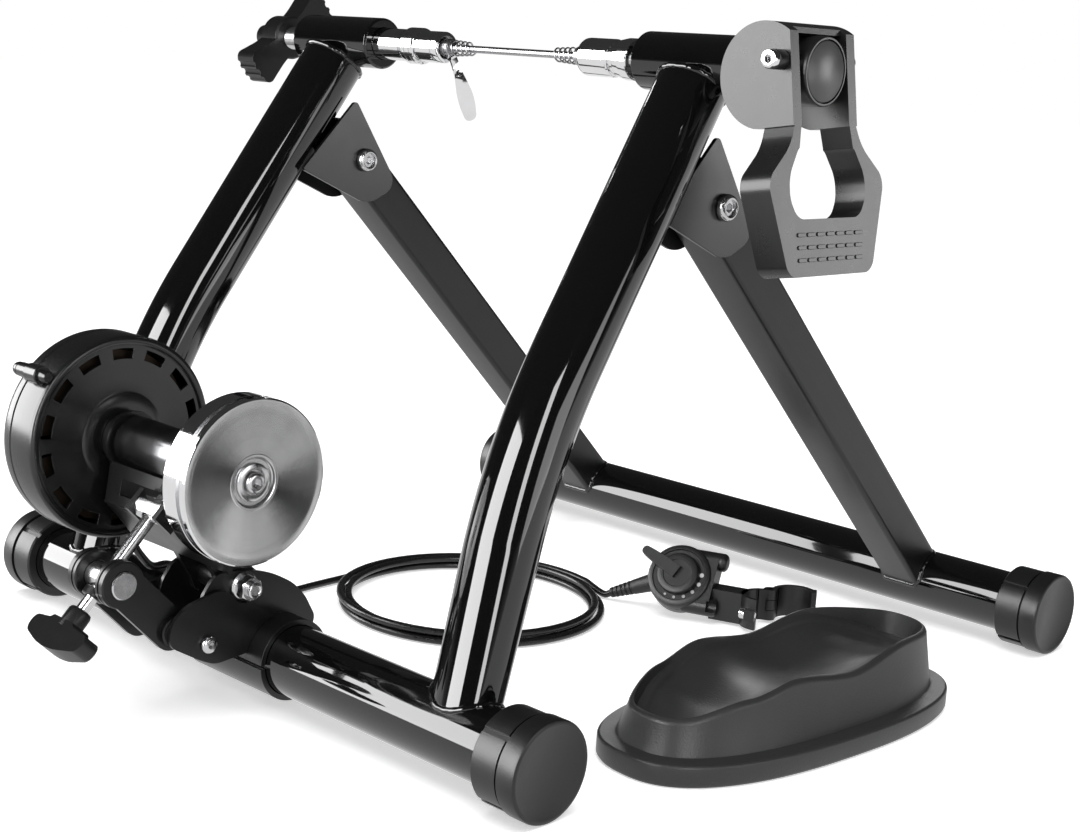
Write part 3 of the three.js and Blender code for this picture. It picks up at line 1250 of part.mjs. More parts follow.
function releasePin() {
  const {
    earOuter, pinRadius, headRadius, headLength, socketRadius, socketDepth, endWasher,
  } = release;
  const seat = earOuter + clearance;
  const pin = join(
    bar(pinRadius, -seat - overrun / 2, seat + endWasher),
    bar(headRadius, seat, seat + headLength, facets.pipe),
    bar(headRadius, -seat - endWasher, -seat, facets.pipe));
  const socket = socketTool(socketRadius, socketDepth).translate(seat + headLength, 0, 0);
  return toGeometry(cut(pin, socket)).rotateZ(-Math.PI / 2);
}

addPiece('plunger_housing', plungerHousing(), 'plastic');
addPiece('plunger_cap', plungerCap(), 'greyPlastic');
const releaseGroup = new THREE.Group();
releaseGroup.position.copy(releasePinPoint);
releaseGroup.rotation.y = -release.tilt * degree;
trainer.add(releaseGroup);
addPiece('release_lever', releaseLever(), 'plastic', releaseGroup);
addPiece('release_pin', releasePin(), 'chrome', releaseGroup);

// Remote control: drawn with +X from the cable towards the handlebar clamp

const remoteGroup = new THREE.Group();
remoteGroup.position.set(remote.side, remote.ahead, 0);
remoteGroup.rotation.z = remote.heading * degree;
trainer.add(remoteGroup);

const bodyTilt = remote.bodyTilt * degree;
const bodyHeight = remote.bodyRadius * Math.cos(bodyTilt)
  + remote.bodyThickness / 2 * Math.sin(bodyTilt) + remote.floorGap;
const barCentre = remote.neckStart + remote.neckLength + remote.bandWall + remote.barRadius;
const bandPinPlace = [barCentre, remote.barRadius + remote.bandWall + remote.pinOut];
const bandTop = remote.bandLift + remote.bandHeight;

// From a frame whose +Z is the dial's axis to the remote's frame
function onDialAxis(solid) {
  return placed(toGeometry(solid), [0, 0, bodyHeight], [Math.PI / 2 - bodyTilt, 0, 0]);
}

function halfRing(sign) {
  const outer = remote.barRadius + remote.bandWall;
  const shell = cut(
    post(outer, remote.bandLift, bandTop, facets.tube),
    post(remote.barRadius, 0, bandTop + overrun, facets.tube),
    block(2 * outer, 4 * outer, 4 * bandTop, [-sign * (outer - remote.bandGap / 2), 0, 0]));
  return placed(toGeometry(shell), [barCentre, 0, 0]);
}

function bandPin(radius, from, to) {
  return placed(post(radius, from, to, facets.pipe), [...bandPinPlace, 0]);
}

function remoteBody() {
  const {
    bodyRadius, bodyThickness, bodyBevel, knuckleRadius, knuckleLength, knuckleOut, knuckleUp,
    neckStart, neckLength, neckWidth, bandLift, bandHeight, bandWall, barrelRadius, pinRadius,
    dialPinRadius, lugLength, screwRadius, barRadius,
  } = remote;
  const half = bodyThickness / 2;
  const disc = turned([
    [-half, 0], [-half, bodyRadius - bodyBevel], [-half + bodyBevel, bodyRadius],
    [half - bodyBevel, bodyRadius], [half, bodyRadius - bodyBevel], [half, 0],
  ], facets.tube).rotateY(-Math.PI / 2);
  const knuckles = [-1, 1].map((sign) => placed(
    bar(knuckleRadius, knuckleOut - knuckleLength / 2, knuckleOut + knuckleLength / 2),
    [0, sign * knuckleUp, 0]));
  const shoulder = block(
    knuckleOut, 2 * knuckleUp, bodyThickness - 2 * bodyBevel, [knuckleOut, 0, 0]);
  const dialPin = post(dialPinRadius, 0, half + remote.dialThickness / 2, facets.hex);
  const neckEnd = neckStart + neckLength;
  const neck = block(neckEnd + bandWall - neckStart, neckWidth, bandHeight,
    [(neckStart + neckEnd + bandWall) / 2, 0, bandLift + bandHeight / 2]);
  const third = bandHeight / 3;
  const lugs = [
    bandPin(barrelRadius, bandLift, bandLift + third - clearance),
    bandPin(barrelRadius, bandTop - third + clearance, bandTop)];
  const barrelRoom = cut(
    bandPin(barrelRadius + clearance, bandLift + third - clearance, bandTop - third + clearance),
    bandPin(pinRadius, bandLift, bandTop));
  const screwLug = block(lugLength, bandWall * 2, third,
    [barCentre - remote.bandGap / 2 - lugLength / 2, -barRadius - bandWall, bandLift + 3 * third / 2]);
  const solid = cut(
    join(onDialAxis(join(disc, ...knuckles, shoulder, dialPin)), neck, halfRing(-1), ...lugs,
      bandPin(pinRadius, bandLift, bandTop), screwLug),
    placed(post(barRadius, 0, bandTop + overrun, facets.tube), [barCentre, 0, 0]),
    barrelRoom,
    ...[
      bar(screwRadius + clearance, barCentre - lugLength - 2 * overrun, barCentre),
      bar(remote.screwHeadRadius + clearance, neckStart,
        barCentre - remote.bandGap / 2 - lugLength),
    ].map((tool) => placed(tool, [0, -barRadius - bandWall, bandLift + 3 * third / 2])));
  return solid;
}

function remoteDial() {
  const { bodyThickness, dialRadius, dialThickness, fingerLength, fingerWidth, fingerHeight,
    fingerAngle, dialPinRadius } = remote;
  const face = bodyThickness / 2 + clearance;
  const finger = outline([
    [0, -fingerWidth / 2], [0, fingerWidth / 2], [-dialRadius, fingerWidth / 2, fingerWidth],
    [-fingerLength, fingerWidth / 3, fingerWidth / 3],
    [-fingerLength, -fingerWidth / 3, fingerWidth / 3],
    [-dialRadius, -fingerWidth / 2, fingerWidth],
  ]);
  const blade = placed(
    extrude(finger, fingerHeight), [0, 0, face], [0, 0, -fingerAngle * degree]);
  return onDialAxis(cut(
    join(post(dialRadius, face, face + dialThickness, facets.tube), blade),
    post(dialPinRadius + clearance, 0, face + dialThickness / 2 + clearance, facets.hole)));
}

// The soft boot where the cable enters, along the line from the cable to the body
const bootStart = new THREE.Vector3(
  -remote.bodyRadius - clearance - remote.bootLength, 0, remote.bootTipHeight);
const bootEnd = new THREE.Vector3(
  -remote.bodyRadius - clearance + remote.bootSink, 0, remote.bootBodyHeight);

function remoteBoot() {
  const along = bootEnd.clone().sub(bootStart);
  const boot = new THREE.CylinderGeometry(
    remote.bootWide, remote.bootNarrow, along.length(), facets.pipe, 2);
  boot.rotateZ(-Math.PI / 2);
  boot.translate(along.length() / 2, 0, 0);
  boot.rotateY(-Math.atan2(along.z, along.x));
  boot.translate(bootStart.x, bootStart.y, bootStart.z);
  const body = onDialAxis(bar(
    remote.bodyRadius + clearance, -remote.bodyThickness, remote.bodyThickness, facets.tube)
    .rotateY(-Math.PI / 2));
  return cut(boot, body);
}

function remoteBand() {
  const third = remote.bandHeight / 3;
  const tab = block(
    remote.lugLength, remote.bandWall, remote.bandHeight - 2 * clearance,
    [barCentre + remote.bandGap / 2 + remote.lugLength / 2,
      -remote.barRadius - remote.bandWall / 2, remote.bandLift + remote.bandHeight / 2]);
  const room = [
    bandPin(remote.barrelRadius + clearance, 0, remote.bandLift + third + clearance / 2),
    bandPin(remote.barrelRadius + clearance, bandTop - third - clearance / 2,
      bandTop + overrun),
    bandPin(remote.pinRadius + clearance, 0, bandTop + overrun)];
  const barrelPiece = bandPin(
    remote.barrelRadius, remote.bandLift + third + clearance / 2,
    bandTop - third - clearance / 2);
  const closed = cut(join(halfRing(1), tab, barrelPiece), ...room,
    placed(post(remote.barRadius, 0, bandTop + overrun, facets.tube), [barCentre, 0, 0]));
  // Drawn closed round the bar, the band is turned open about its pin
  const fromPin = placed(toGeometry(closed), [-bandPinPlace[0], -bandPinPlace[1], 0]);
  return fromPin.rotateZ(remote.bandOpen * degree);
}

function remoteScrew() {
  const { barRadius, bandWall, bandLift, bandHeight, screwRadius, screwHeadRadius } = remote;
  const end = barCentre - remote.bandGap / 2;
  const head = end - remote.lugLength - clearance;
  return placed(toGeometry(join(
    bar(screwRadius, head - remote.screwHeadLength, end, facets.bolt),
    bar(screwHeadRadius, head - remote.screwHeadLength, head, facets.bolt))),
  [0, -barRadius - bandWall, bandLift + bandHeight / 2]);
}

addPiece('remote_body', remoteBody(), 'plastic', remoteGroup);
addPiece('remote_boot', remoteBoot(), 'rubber', remoteGroup);
addPiece('remote_dial', remoteDial(), 'plastic', remoteGroup);
addPiece('remote_band', remoteBand(), 'plastic', remoteGroup)
  .position.set(...bandPinPlace, 0);
addPiece('remote_screw', remoteScrew(), 'chrome', remoteGroup);

// Remote cable

// Two layers: the spiral runs in on the floor, climbs in half a turn and runs out on top
function coilPlaces() {
  const {
    side, ahead, outerRadius, pitch, startAngle, turnsIn, climbTurns, turnsOut, layerRise,
  } = coil;
  const total = turnsIn + climbTurns + turnsOut;
  const steps = Math.round(total * cable.stepsPerTurn);
  return Array.from({ length: steps + 1 }, (_, i) => {
    const turns = i / steps * total;
    const climbed = Math.min(Math.max((turns - turnsIn) / climbTurns, 0), 1);
    const inward = Math.min(turns, turnsIn) - Math.max(turns - turnsIn - climbTurns, 0);
    const angle = startAngle * degree - turns * turn;
    const radius = outerRadius - pitch * inward;
    return new THREE.Vector3(
      side + radius * Math.cos(angle), ahead + radius * Math.sin(angle),
      cable.radius + coil.floorGap + layerRise * climbed);
  });
}

const coilRoute = coilPlaces();
const coilTube = withStraightEnds(coilRoute, cable.radius);
console.log('coil: least gap '
  + `${leastGap(coilRoute, cable.radius, cable.stepsPerTurn).toFixed(2)} mm`);

// A loose stretch of the cable along chosen points, leaving each end in a given direction
function cableStretch(start, startWay, points, end, endWay, steps) {
  const run = 2 * cable.radius;
  const curve = new THREE.CatmullRomCurve3([
    start, start.clone().addScaledVector(startWay, run), ...points,
    end.clone().addScaledVector(endWay, -run), end,
  ]);
  return new THREE.ExtrudeGeometry(discShape(cable.radius), {
    steps, extrudePath: curve, bevelEnabled: false, curveSegments: cable.sides / 2,
  });
}

const glandWay = new THREE.Vector3(
  0, Math.cos(drum.glandAngle * degree), Math.sin(drum.glandAngle * degree));
const glandEnd = unitAxis.clone().add(new THREE.Vector3((drum.back + drum.seam) / 2, 0, 0))
  .addScaledVector(glandWay, drum.radius + drum.glandLength);
const coilIn = coilTube[1].clone().sub(coilTube[0]).normalize();
const coilOut = coilTube.at(-1).clone().sub(coilTube.at(-2)).normalize();
const bootWay = bootEnd.clone().sub(bootStart).normalize();
remoteGroup.updateMatrixWorld(true);
const bootTip = remoteGroup.localToWorld(bootStart.clone());
const bootTipWay = bootWay.clone().transformDirection(remoteGroup.matrixWorld);

const leadPoints = [
  [-92, -204, 62], [-93, -196, 54.5], [-95, -184, 53.2], [-98, -169, 46.5],
  [-104, -152, 26], [-113, -130, 9], [-123, -92, 3.2], [-131, -45, 2.9],
].map((point) => new THREE.Vector3(...point));
addPiece('cable_lead', cableStretch(
  glandEnd.clone().addScaledVector(glandWay, clearance), glandWay, leadPoints,
  coilTube[0].clone().addScaledVector(coilIn, -clearance), coilIn, cable.leadSteps), 'rubber');
addPiece('cable_coil',
  woundTube(coilTube, cable.radius, cable.coilSides, new THREE.Vector3(0, 0, 1)), 'rubber');
addPiece('cable_tail', cableStretch(
  coilTube.at(-1).clone().addScaledVector(coilOut, clearance), coilOut, [],
  bootTip.clone().addScaledVector(bootTipWay, -clearance), bootTipWay, cable.tailSteps),
'rubber');

// Riser block for the front wheel

// The height of the two long rims along the block, from its near end (-1) to its far end (1)
function rimHeight(along) {
  const places = riser.rimShares.map(([share, height]) => new THREE.Vector2(share, height));
  const next = Math.max(1, places.findIndex((place) => place.x >= along));
  const [before, after] = [places[next - 1], places[next]];
  const blend = THREE.MathUtils.smoothstep(along, before.x, after.x);
  return riser.topHeight * THREE.MathUtils.lerp(before.y, after.y, blend);
}

function riserBlock() {
  const {
    halfWidth, halfLength, flangeHeight, flangeRound, ledge, topRound, draft, troughDepth,
    squareness, sides, topRings, footInset,
  } = riser;
  const wallInset = ledge + draft;
  // Each ring has its inset from the outline and how far up it lies between two levels
  const rings = [
    { inset: footInset, level: 0 }, { inset: 0, level: flangeRound },
    { inset: 0, level: flangeHeight - flangeRound },
    { inset: flangeRound, level: flangeHeight }, { inset: ledge, level: flangeHeight },
    { inset: wallInset, drop: topRound }, { inset: wallInset + topRound, drop: 0 },
  ];
  const rim = wallInset + topRound;
  for (let i = 1; i < topRings; i += 1) {
    rings.push({ inset: rim, scale: 1 - i / topRings, drop: 0 });
  }
  const profile = [[0, 0], ...rings.map((_, i) => [i + 1, i + 1]), [0, rings.length + 1]];
  const geometry = turned(profile.map(([radius, along]) => [along, radius]), sides);
  geometry.rotateZ(Math.PI / 2);
  const position = geometry.getAttribute('position');
  const squared = (value) => Math.sign(value) * Math.abs(value) ** (2 / squareness);
  for (let i = 0; i < position.count; i += 1) {
    const index = Math.round(position.getY(i));
    const ringHere = rings[index - 1];
    const flat = Math.hypot(position.getX(i), position.getZ(i));
    const centre = flat < weldTolerance;
    const angle = Math.atan2(-position.getZ(i), position.getX(i));
    const { inset = rim, scale = 1, level, drop = 0 } = ringHere ?? {};
    const reach = centre ? 0 : scale;
    const x = squared(Math.cos(angle)) * (halfWidth - inset) * reach;
    const y = squared(Math.sin(angle)) * (halfLength - inset) * reach;
    let z = index === 0 ? 0 : level;
    if (z === undefined) {
      const across = x / (halfWidth - rim);
      const trough = troughDepth * Math.cos(Math.min(Math.abs(across), 1) * Math.PI / 2) ** 2;
      z = rimHeight(y / (halfLength - rim)) - (inset === rim ? trough : 0) - drop;
    }
    position.setXYZ(i, x, y, z);
  }
  return geometry;
}

const riserMesh = addPiece('riser_block', riserBlock(), 'plastic');
riserMesh.position.set(riser.side, riser.ahead, 0);
riserMesh.rotation.z = riser.heading * degree;

// The origin goes to the floor under the middle of everything but the cable and its remote
const onCable = new Set(['cable_lead', 'cable_coil', 'cable_tail']);
remoteGroup.traverse((piece) => onCable.add(piece.name));
trainer.updateMatrixWorld(true);
const bounds = new THREE.Box3();
trainer.traverse((piece) => {
  if (piece.isMesh && !onCable.has(piece.name)) bounds.expandByObject(piece, true);
});
const middle = bounds.getCenter(new THREE.Vector3());
trainer.position.set(-middle.x, -middle.y, -bounds.min.z);
export default trainer;
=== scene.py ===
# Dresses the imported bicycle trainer. Pieces are drawn in millimetres from the wheel's axle
# line, as in the CAD source, and are moved into the frame, in metres, when they are finished.
import math

import bmesh
import bpy
from mathutils import Matrix, Vector, noise


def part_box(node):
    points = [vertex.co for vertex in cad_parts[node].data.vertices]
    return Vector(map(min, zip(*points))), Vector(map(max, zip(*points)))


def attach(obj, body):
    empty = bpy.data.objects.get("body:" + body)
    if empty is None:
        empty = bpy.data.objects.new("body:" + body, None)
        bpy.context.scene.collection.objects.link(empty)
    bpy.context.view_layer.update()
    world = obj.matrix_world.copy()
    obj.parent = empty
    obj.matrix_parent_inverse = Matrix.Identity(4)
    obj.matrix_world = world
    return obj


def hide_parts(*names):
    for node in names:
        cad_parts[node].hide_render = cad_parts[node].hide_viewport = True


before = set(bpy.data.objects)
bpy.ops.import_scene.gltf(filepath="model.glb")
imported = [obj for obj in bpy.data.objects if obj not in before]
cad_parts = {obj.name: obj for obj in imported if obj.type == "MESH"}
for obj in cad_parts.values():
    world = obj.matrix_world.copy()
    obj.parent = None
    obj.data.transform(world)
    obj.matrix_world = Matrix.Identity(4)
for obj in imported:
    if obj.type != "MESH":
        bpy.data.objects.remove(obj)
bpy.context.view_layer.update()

mm = 0.001
fullTurn = 2 * math.pi
sides = (("Left", -1), ("Right", 1))
gap = 0.3  # between pieces that touch
overrun = 6  # a cutter passes the face it cuts by this much
stand = {
    "axleHeight": 384, "rearTubeBack": 184.5, "frontTubeAhead": 290, "tubeHeight": 27.76,
    "tubeRadius": 21, "tubeWall": 1.8, "rearHalfWidth": 247.5, "frontHalfWidth": 271.5,
}
tubeLow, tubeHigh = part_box("rear_cross_tube")
tubeMiddle = (tubeLow + tubeHigh) / 2
toFrame = Matrix.Translation(
    (tubeMiddle.x, tubeMiddle.y + stand["rearTubeBack"] * mm, 0)) @ Matrix.Scale(mm, 4)
tubeRoom = stand["tubeRadius"] + gap
axle = Vector((0, 0, stand["axleHeight"]))
rearTube = Vector((0, -stand["rearTubeBack"], stand["tubeHeight"]))
frontTube = Vector((0, stand["frontTubeAhead"], stand["tubeHeight"]))
unitAxis = Vector((0, -236.8, 147.5))
pivotPoint = rearTube + Vector((0, -26, 45.7))
armPin = rearTube + Vector((0, -104, 58.6))
trunnionPoint = unitAxis + Vector((0, -20.1, -27.2))
hingePoint = Vector((0, 6, 303.7))

camera = {
    "place": (821.5, -811.6, 386.7), "yaw": 43.6, "pitch": -11.6, "roll": 3.5,
    "lens": 59.46, "sensor": 36,
}


def makeCamera():
    yaw, pitch, roll = (math.radians(camera[key]) for key in ("yaw", "pitch", "roll"))
    ahead = Vector((-math.sin(yaw) * math.cos(pitch), math.cos(yaw) * math.cos(pitch),
                    math.sin(pitch)))
    level = Vector((math.cos(yaw), math.sin(yaw), 0))
    upright = level.cross(ahead)
    right = level * math.cos(roll) + upright * math.sin(roll)
    up = upright * math.cos(roll) - level * math.sin(roll)
    data = bpy.data.cameras.new("camera")
    data.sensor_width, data.lens = camera["sensor"], camera["lens"]
    data.clip_start, data.clip_end = 0.05, 60
    eye = bpy.data.objects.new("camera", data)
    bpy.context.scene.collection.objects.link(eye)
    eye.matrix_world = Matrix.Translation(toFrame @ Vector(camera["place"])) @ Matrix(
        (right, up, -ahead)).transposed().to_4x4()
    bpy.context.scene.camera = eye


makeCamera()


# Inputs of a node: a socket is linked, and a plain value is set
def wire(tree, node, inputs):
    for key, value in inputs.items():
        if isinstance(value, bpy.types.NodeSocket):
            tree.links.new(value, node.inputs[key])
        else:
            node.inputs[key].default_value = value


def addNode(tree, kind, inputs=None, **settings):
    node = tree.nodes.new(f"ShaderNode{kind}")
    for key, value in settings.items():
        setattr(node, key, value)
    wire(tree, node, inputs or {})
    return node.outputs


def mathNode(tree, operation, *values):
    return addNode(tree, "Math", dict(enumerate(values)), operation=operation)[0]


def noiseNode(tree, place, scale, detail, roughness=0.5, dimensions="3D"):
    return addNode(tree, "TexNoise", {
        "Detail": detail, "Roughness": roughness, "Scale": scale,
        "W" if dimensions == "1D" else "Vector": place}, noise_dimensions=dimensions)["Fac"]


def objectPlace(tree):
    return addNode(tree, "TexCoord")["Object"]


# A shared effect is a node group that puts out values and colours, never a shader
def newGroup(name, inputs, outputs):
    group = bpy.data.node_groups.new(name, "ShaderNodeTree")
    for label, value in inputs.items():
        kind = "Float" if isinstance(value, float) else {3: "Vector", 4: "Color"}[len(value)]
        socket = group.interface.new_socket(name=label, in_out="INPUT",
                                            socket_type=f"NodeSocket{kind}")
        socket.default_value = value
    for label, kind in outputs.items():
        group.interface.new_socket(name=label, in_out="OUTPUT", socket_type=f"NodeSocket{kind}")
    return group, group.nodes.new("NodeGroupInput").outputs, group.nodes.new("NodeGroupOutput")


# Slow changes of tone and gloss over a surface, as handling and moulding leave them
def makeToneGroup():
    group, given, result = newGroup("surfaceTone", {
        "Color": (0.02, 0.02, 0.02, 1), "Roughness": 0.4, "Patch Size": 0.05,
        "Tone Change": 0.15, "Gloss Change": 0.08}, {"Color": "Color", "Roughness": "Float"})
    place, scale = objectPlace(group), mathNode(group, "DIVIDE", 1.0, given["Patch Size"])
    patch = noiseNode(group, place, scale, 4.0, 0.6)
    smear = noiseNode(group, place, mathNode(group, "MULTIPLY", scale, 3.1), 5.0, 0.65)
    tone = mathNode(group, "MULTIPLY_ADD", mathNode(group, "SUBTRACT", patch, 0.5),
                    mathNode(group, "MULTIPLY", given["Tone Change"], 2.0), 1.0)
    shade = addNode(group, "VectorMath", {0: given["Color"], "Scale": tone}, operation="SCALE")
    gloss = mathNode(group, "MULTIPLY_ADD", mathNode(group, "SUBTRACT", smear, 0.5),
                     given["Gloss Change"], given["Roughness"])
    wire(group, result, {"Color": shade[0], "Roughness": gloss})
    return group


# The fine relief of a moulded or sprayed surface, as a height
def makeGrainGroup():
    group, given, result = newGroup("fineGrain", {"Grain Size": 0.0006, "Pebble": 0.5},
                                    {"Height": "Float"})
    place, scale = objectPlace(group), mathNode(group, "DIVIDE", 1.0, given["Grain Size"])
    fine = noiseNode(group, place, scale, 3.0, 0.6)
    cells = addNode(group, "TexVoronoi", {"Vector": place, "Scale": scale})
    mixed = addNode(group, "Mix", {"Factor": given["Pebble"], 2: fine, 3: cells["Distance"]})
    wire(group, result, {"Height": mixed[0]})
    return group


# The rings that a lathe leaves round an axis along X, from the distance to that axis
def makeRingGroup():
    group, given, result = newGroup("latheRings", {
        "Vector": (0, 0, 0), "Ring Pitch": 0.0003}, {"Height": "Float", "Band": "Float"})
    parts = addNode(group, "SeparateXYZ", {0: given["Vector"]})
    squares = [mathNode(group, "MULTIPLY", parts[i], parts[i]) for i in (1, 2)]
    distance = mathNode(group, "SQRT", mathNode(group, "ADD", *squares))
    along = mathNode(group, "DIVIDE", distance, given["Ring Pitch"])
    slow = mathNode(group, "DIVIDE", along, 14.0)
    wire(group, result, {"Height": noiseNode(group, along, 1.0, 2.0, dimensions="1D"),
                         "Band": noiseNode(group, slow, 1.0, 3.0, dimensions="1D")})
    return group


toneGroup, grainGroup, ringGroup = makeToneGroup(), makeGrainGroup(), makeRingGroup()

# A finish by its slot, colour, roughness, size of its patches, how far tone and gloss change
# over them, strength and depth of its relief, size of the grain and share of pebbles; in metres
lookNames = ("slot", "color", "roughness", "patch", "tone", "gloss", "relief", "depth", "grain",
             "pebble")


def lookOf(*values, **more):
    return {**dict(zip(lookNames, values)), **more}


finishes = {
    "glossPaint": lookOf("gloss_paint", (0.0032, 0.0032, 0.0035), 0.06, 0.09, 0.2, 0.04, 0.02,
                         0.0004, 0.016, 0.0, coat=0.5, coatRoughness=0.02),
    "satinPaint": lookOf("satin_paint", (0.006, 0.006, 0.0063), 0.33, 0.05, 0.25, 0.1, 0.18,
                         0.0002, 0.0012, 0.25),
    "bracketPaint": lookOf("satin_paint", (0.0055, 0.0055, 0.0058), 0.3, 0.03, 0.15, 0.12, 0.15,
                           0.0002, 0.001, 0.2),
    "capPlastic": lookOf("black_plastic", (0.0068, 0.0068, 0.0072), 0.36, 0.03, 0.25, 0.1, 0.25,
                         0.0002, 0.0008, 0.5),
    "leverPlastic": lookOf("black_plastic", (0.01, 0.01, 0.0104), 0.28, 0.035, 0.1, 0.06, 0.12,
                           0.0002, 0.0009, 0.6),
    "discPlastic": lookOf("grey_plastic", (0.06, 0.06, 0.061), 0.32, 0.02, 0.15, 0.08, 0.25,
                          0.0002, 0.0007, 0.5),
    "drumPlastic": lookOf("black_plastic", (0.006, 0.006, 0.0063), 0.24, 0.04, 0.08, 0.05, 0.15,
                          0.0002, 0.0009, 0.3, ior=1.6),
    "knobPlastic": lookOf("black_plastic", (0.006, 0.006, 0.0063), 0.38, 0.02, 0.15, 0.12, 0.3,
                          0.0002, 0.0009, 0.5),
    "riserPlastic": lookOf("black_plastic", (0.026, 0.026, 0.0265), 0.4, 0.07, 0.2, 0.1, 0.3,
                           0.0003, 0.0011, 0.7),
    "remotePlastic": lookOf("black_plastic", (0.007, 0.007, 0.0074), 0.4, 0.015, 0.25, 0.12, 0.25,
                            0.0002, 0.0007, 0.4),
    "softRubber": lookOf("cable_rubber", (0.01, 0.01, 0.0102), 0.5, 0.02, 0.3, 0.15, 0.3, 0.0001,
                         0.0006, 0.3),
    "cablePlastic": lookOf("cable_rubber", (0.008, 0.008, 0.0082), 0.28, 0.05, 0.3, 0.15, 0.2,
                           0.0002, 0.004, 0.0),
    "polishedChrome": lookOf("chrome", (0.78, 0.78, 0.79), 0.07, 0.012, 0.08, 0.08, 0.1, 0.0001,
                             0.006, 0.0, metallic=1.0),
    "zincPlate": lookOf("chrome", (0.62, 0.62, 0.63), 0.2, 0.006, 0.2, 0.18, 0.2, 0.0001, 0.0008,
                        0.4, metallic=1.0),
    "springSteel": lookOf("chrome", (0.42, 0.42, 0.43), 0.25, 0.004, 0.2, 0.1, 0.1, 0.0001,
                          0.0006, 0.1, metallic=1.0),
    "turnedSteel": lookOf("turned_steel", (0.62, 0.62, 0.625), 0.2, 0.03, 0.05, 0.06, 0.1,
                          0.00003, metallic=1.0, anisotropic=0.96, ringPitch=0.00022),
    "rolledSteel": lookOf("chrome", (0.16, 0.16, 0.165), 0.22, 0.02, 0.15, 0.12, 0.15, 0.0001,
                          0.0009, 0.2, metallic=1.0),
    "brakeCopper": lookOf("turned_steel", (0.035, 0.026, 0.02), 0.5, 0.02, 0.2, 0.12, 0.15,
                          0.0001, 0.0009, 0.2, metallic=1.0),
    "paleMarks": lookOf("grey_plastic", (0.62, 0.62, 0.62), 0.5, 0.004, 0.1, 0.1, 0.1, 0.0001,
                        0.0005, 0.3),
}


def makeFinish(name, look):
    material = bpy.data.materials.new(name)
    material.use_nodes = True
    tree = material.node_tree
    shader = tree.nodes["Principled BSDF"]
    toned = addNode(tree, "Group", {
        "Color": (*look["color"], 1), "Roughness": look["roughness"],
        "Patch Size": look["patch"], "Tone Change": look["tone"],
        "Gloss Change": look["gloss"]}, node_tree=toneGroup)
    roughness = toned["Roughness"]
    if "ringPitch" in look:
        centred = addNode(tree, "Mapping", {
            "Vector": objectPlace(tree), "Location": -(toFrame @ unitAxis)})
        relief = addNode(tree, "Group", {
            "Vector": centred[0], "Ring Pitch": look["ringPitch"]}, node_tree=ringGroup)
        roughness = mathNode(tree, "MULTIPLY_ADD", relief["Band"], look["gloss"], roughness)
        wire(tree, shader, {
            "Anisotropic": look["anisotropic"],
            "Tangent": addNode(tree, "Tangent", direction_type="RADIAL", axis="X")[0]})
    else:
        relief = addNode(tree, "Group", {
            "Grain Size": look["grain"], "Pebble": look["pebble"]}, node_tree=grainGroup)
    bump = addNode(tree, "Bump", {
        "Strength": look["relief"], "Distance": look["depth"], "Height": relief["Height"]})
    wire(tree, shader, {
        "Base Color": toned["Color"], "Roughness": roughness, "Normal": bump[0],
        "Metallic": look.get("metallic", 0.0), "IOR": look.get("ior", 1.5),
        "Coat Weight": look.get("coat", 0.0),
        "Coat Roughness": look.get("coatRoughness", 0.03)})
    return material


finish = {name: makeFinish(name, look) for name, look in finishes.items()}
print(f"finishes: {len(finish)}")


def linked(name, mesh):
    piece = bpy.data.objects.new(name, mesh)
    bpy.context.scene.collection.objects.link(piece)
    return piece


# A finished piece is merged, faces outwards, lies in the frame and rides on its body. It
# replaces the nodes named, or else the node of its own name where there is one
def addPiece(name, bm, look, body="stand", nodes=(), bevel=0.0, sharp=38, drawn=True):
    bmesh.ops.remove_doubles(bm, verts=bm.verts, dist=0.002 if drawn else 0.000002)
    bmesh.ops.recalc_face_normals(bm, faces=bm.faces)
    if drawn:
        bmesh.ops.transform(bm, matrix=toFrame, verts=bm.verts)
    for face in bm.faces:
        face.smooth = True
    mesh = bpy.data.meshes.new(name)
    bm.to_mesh(mesh)
    bm.free()
    mesh.set_sharp_from_angle(angle=math.radians(sharp))
    mesh.materials.append(finish[look])
    piece = linked(name, mesh)
    if bevel:
        edge = piece.modifiers.new("edge", "BEVEL")
        edge.width, edge.segments = bevel * mm, 2
        edge.limit_method, edge.angle_limit = "ANGLE", math.radians(sharp)
        edge.harden_normals = True
    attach(piece, body)
    own = "".join(f"_{letter.lower()}" if letter.isupper() else letter for letter in name)
    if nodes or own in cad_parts:
        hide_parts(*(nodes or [own]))
    return piece


def moved(bm, place=(0, 0, 0), turns=()):
    for angle, axis in turns:
        bmesh.ops.rotate(bm, verts=bm.verts, cent=(0, 0, 0),
                         matrix=Matrix.Rotation(math.radians(angle), 3, axis))
    bmesh.ops.translate(bm, verts=bm.verts, vec=Vector(place))
    return bm


# Turns about Z and Y, which lay a shape drawn on X along Y or stand it up along Z
def aboutZ(bm, turn=90):
    return moved(bm, turns=[(turn, "Z")])


def aboutY(bm, turn=-90):
    return moved(bm, turns=[(turn, "Y")])


def joined(*parts):
    whole = bmesh.new()
    for part in parts:
        mesh = bpy.data.meshes.new("part")
        part.to_mesh(mesh)
        part.free()
        whole.from_mesh(mesh)
        bpy.data.meshes.remove(mesh)
    return whole


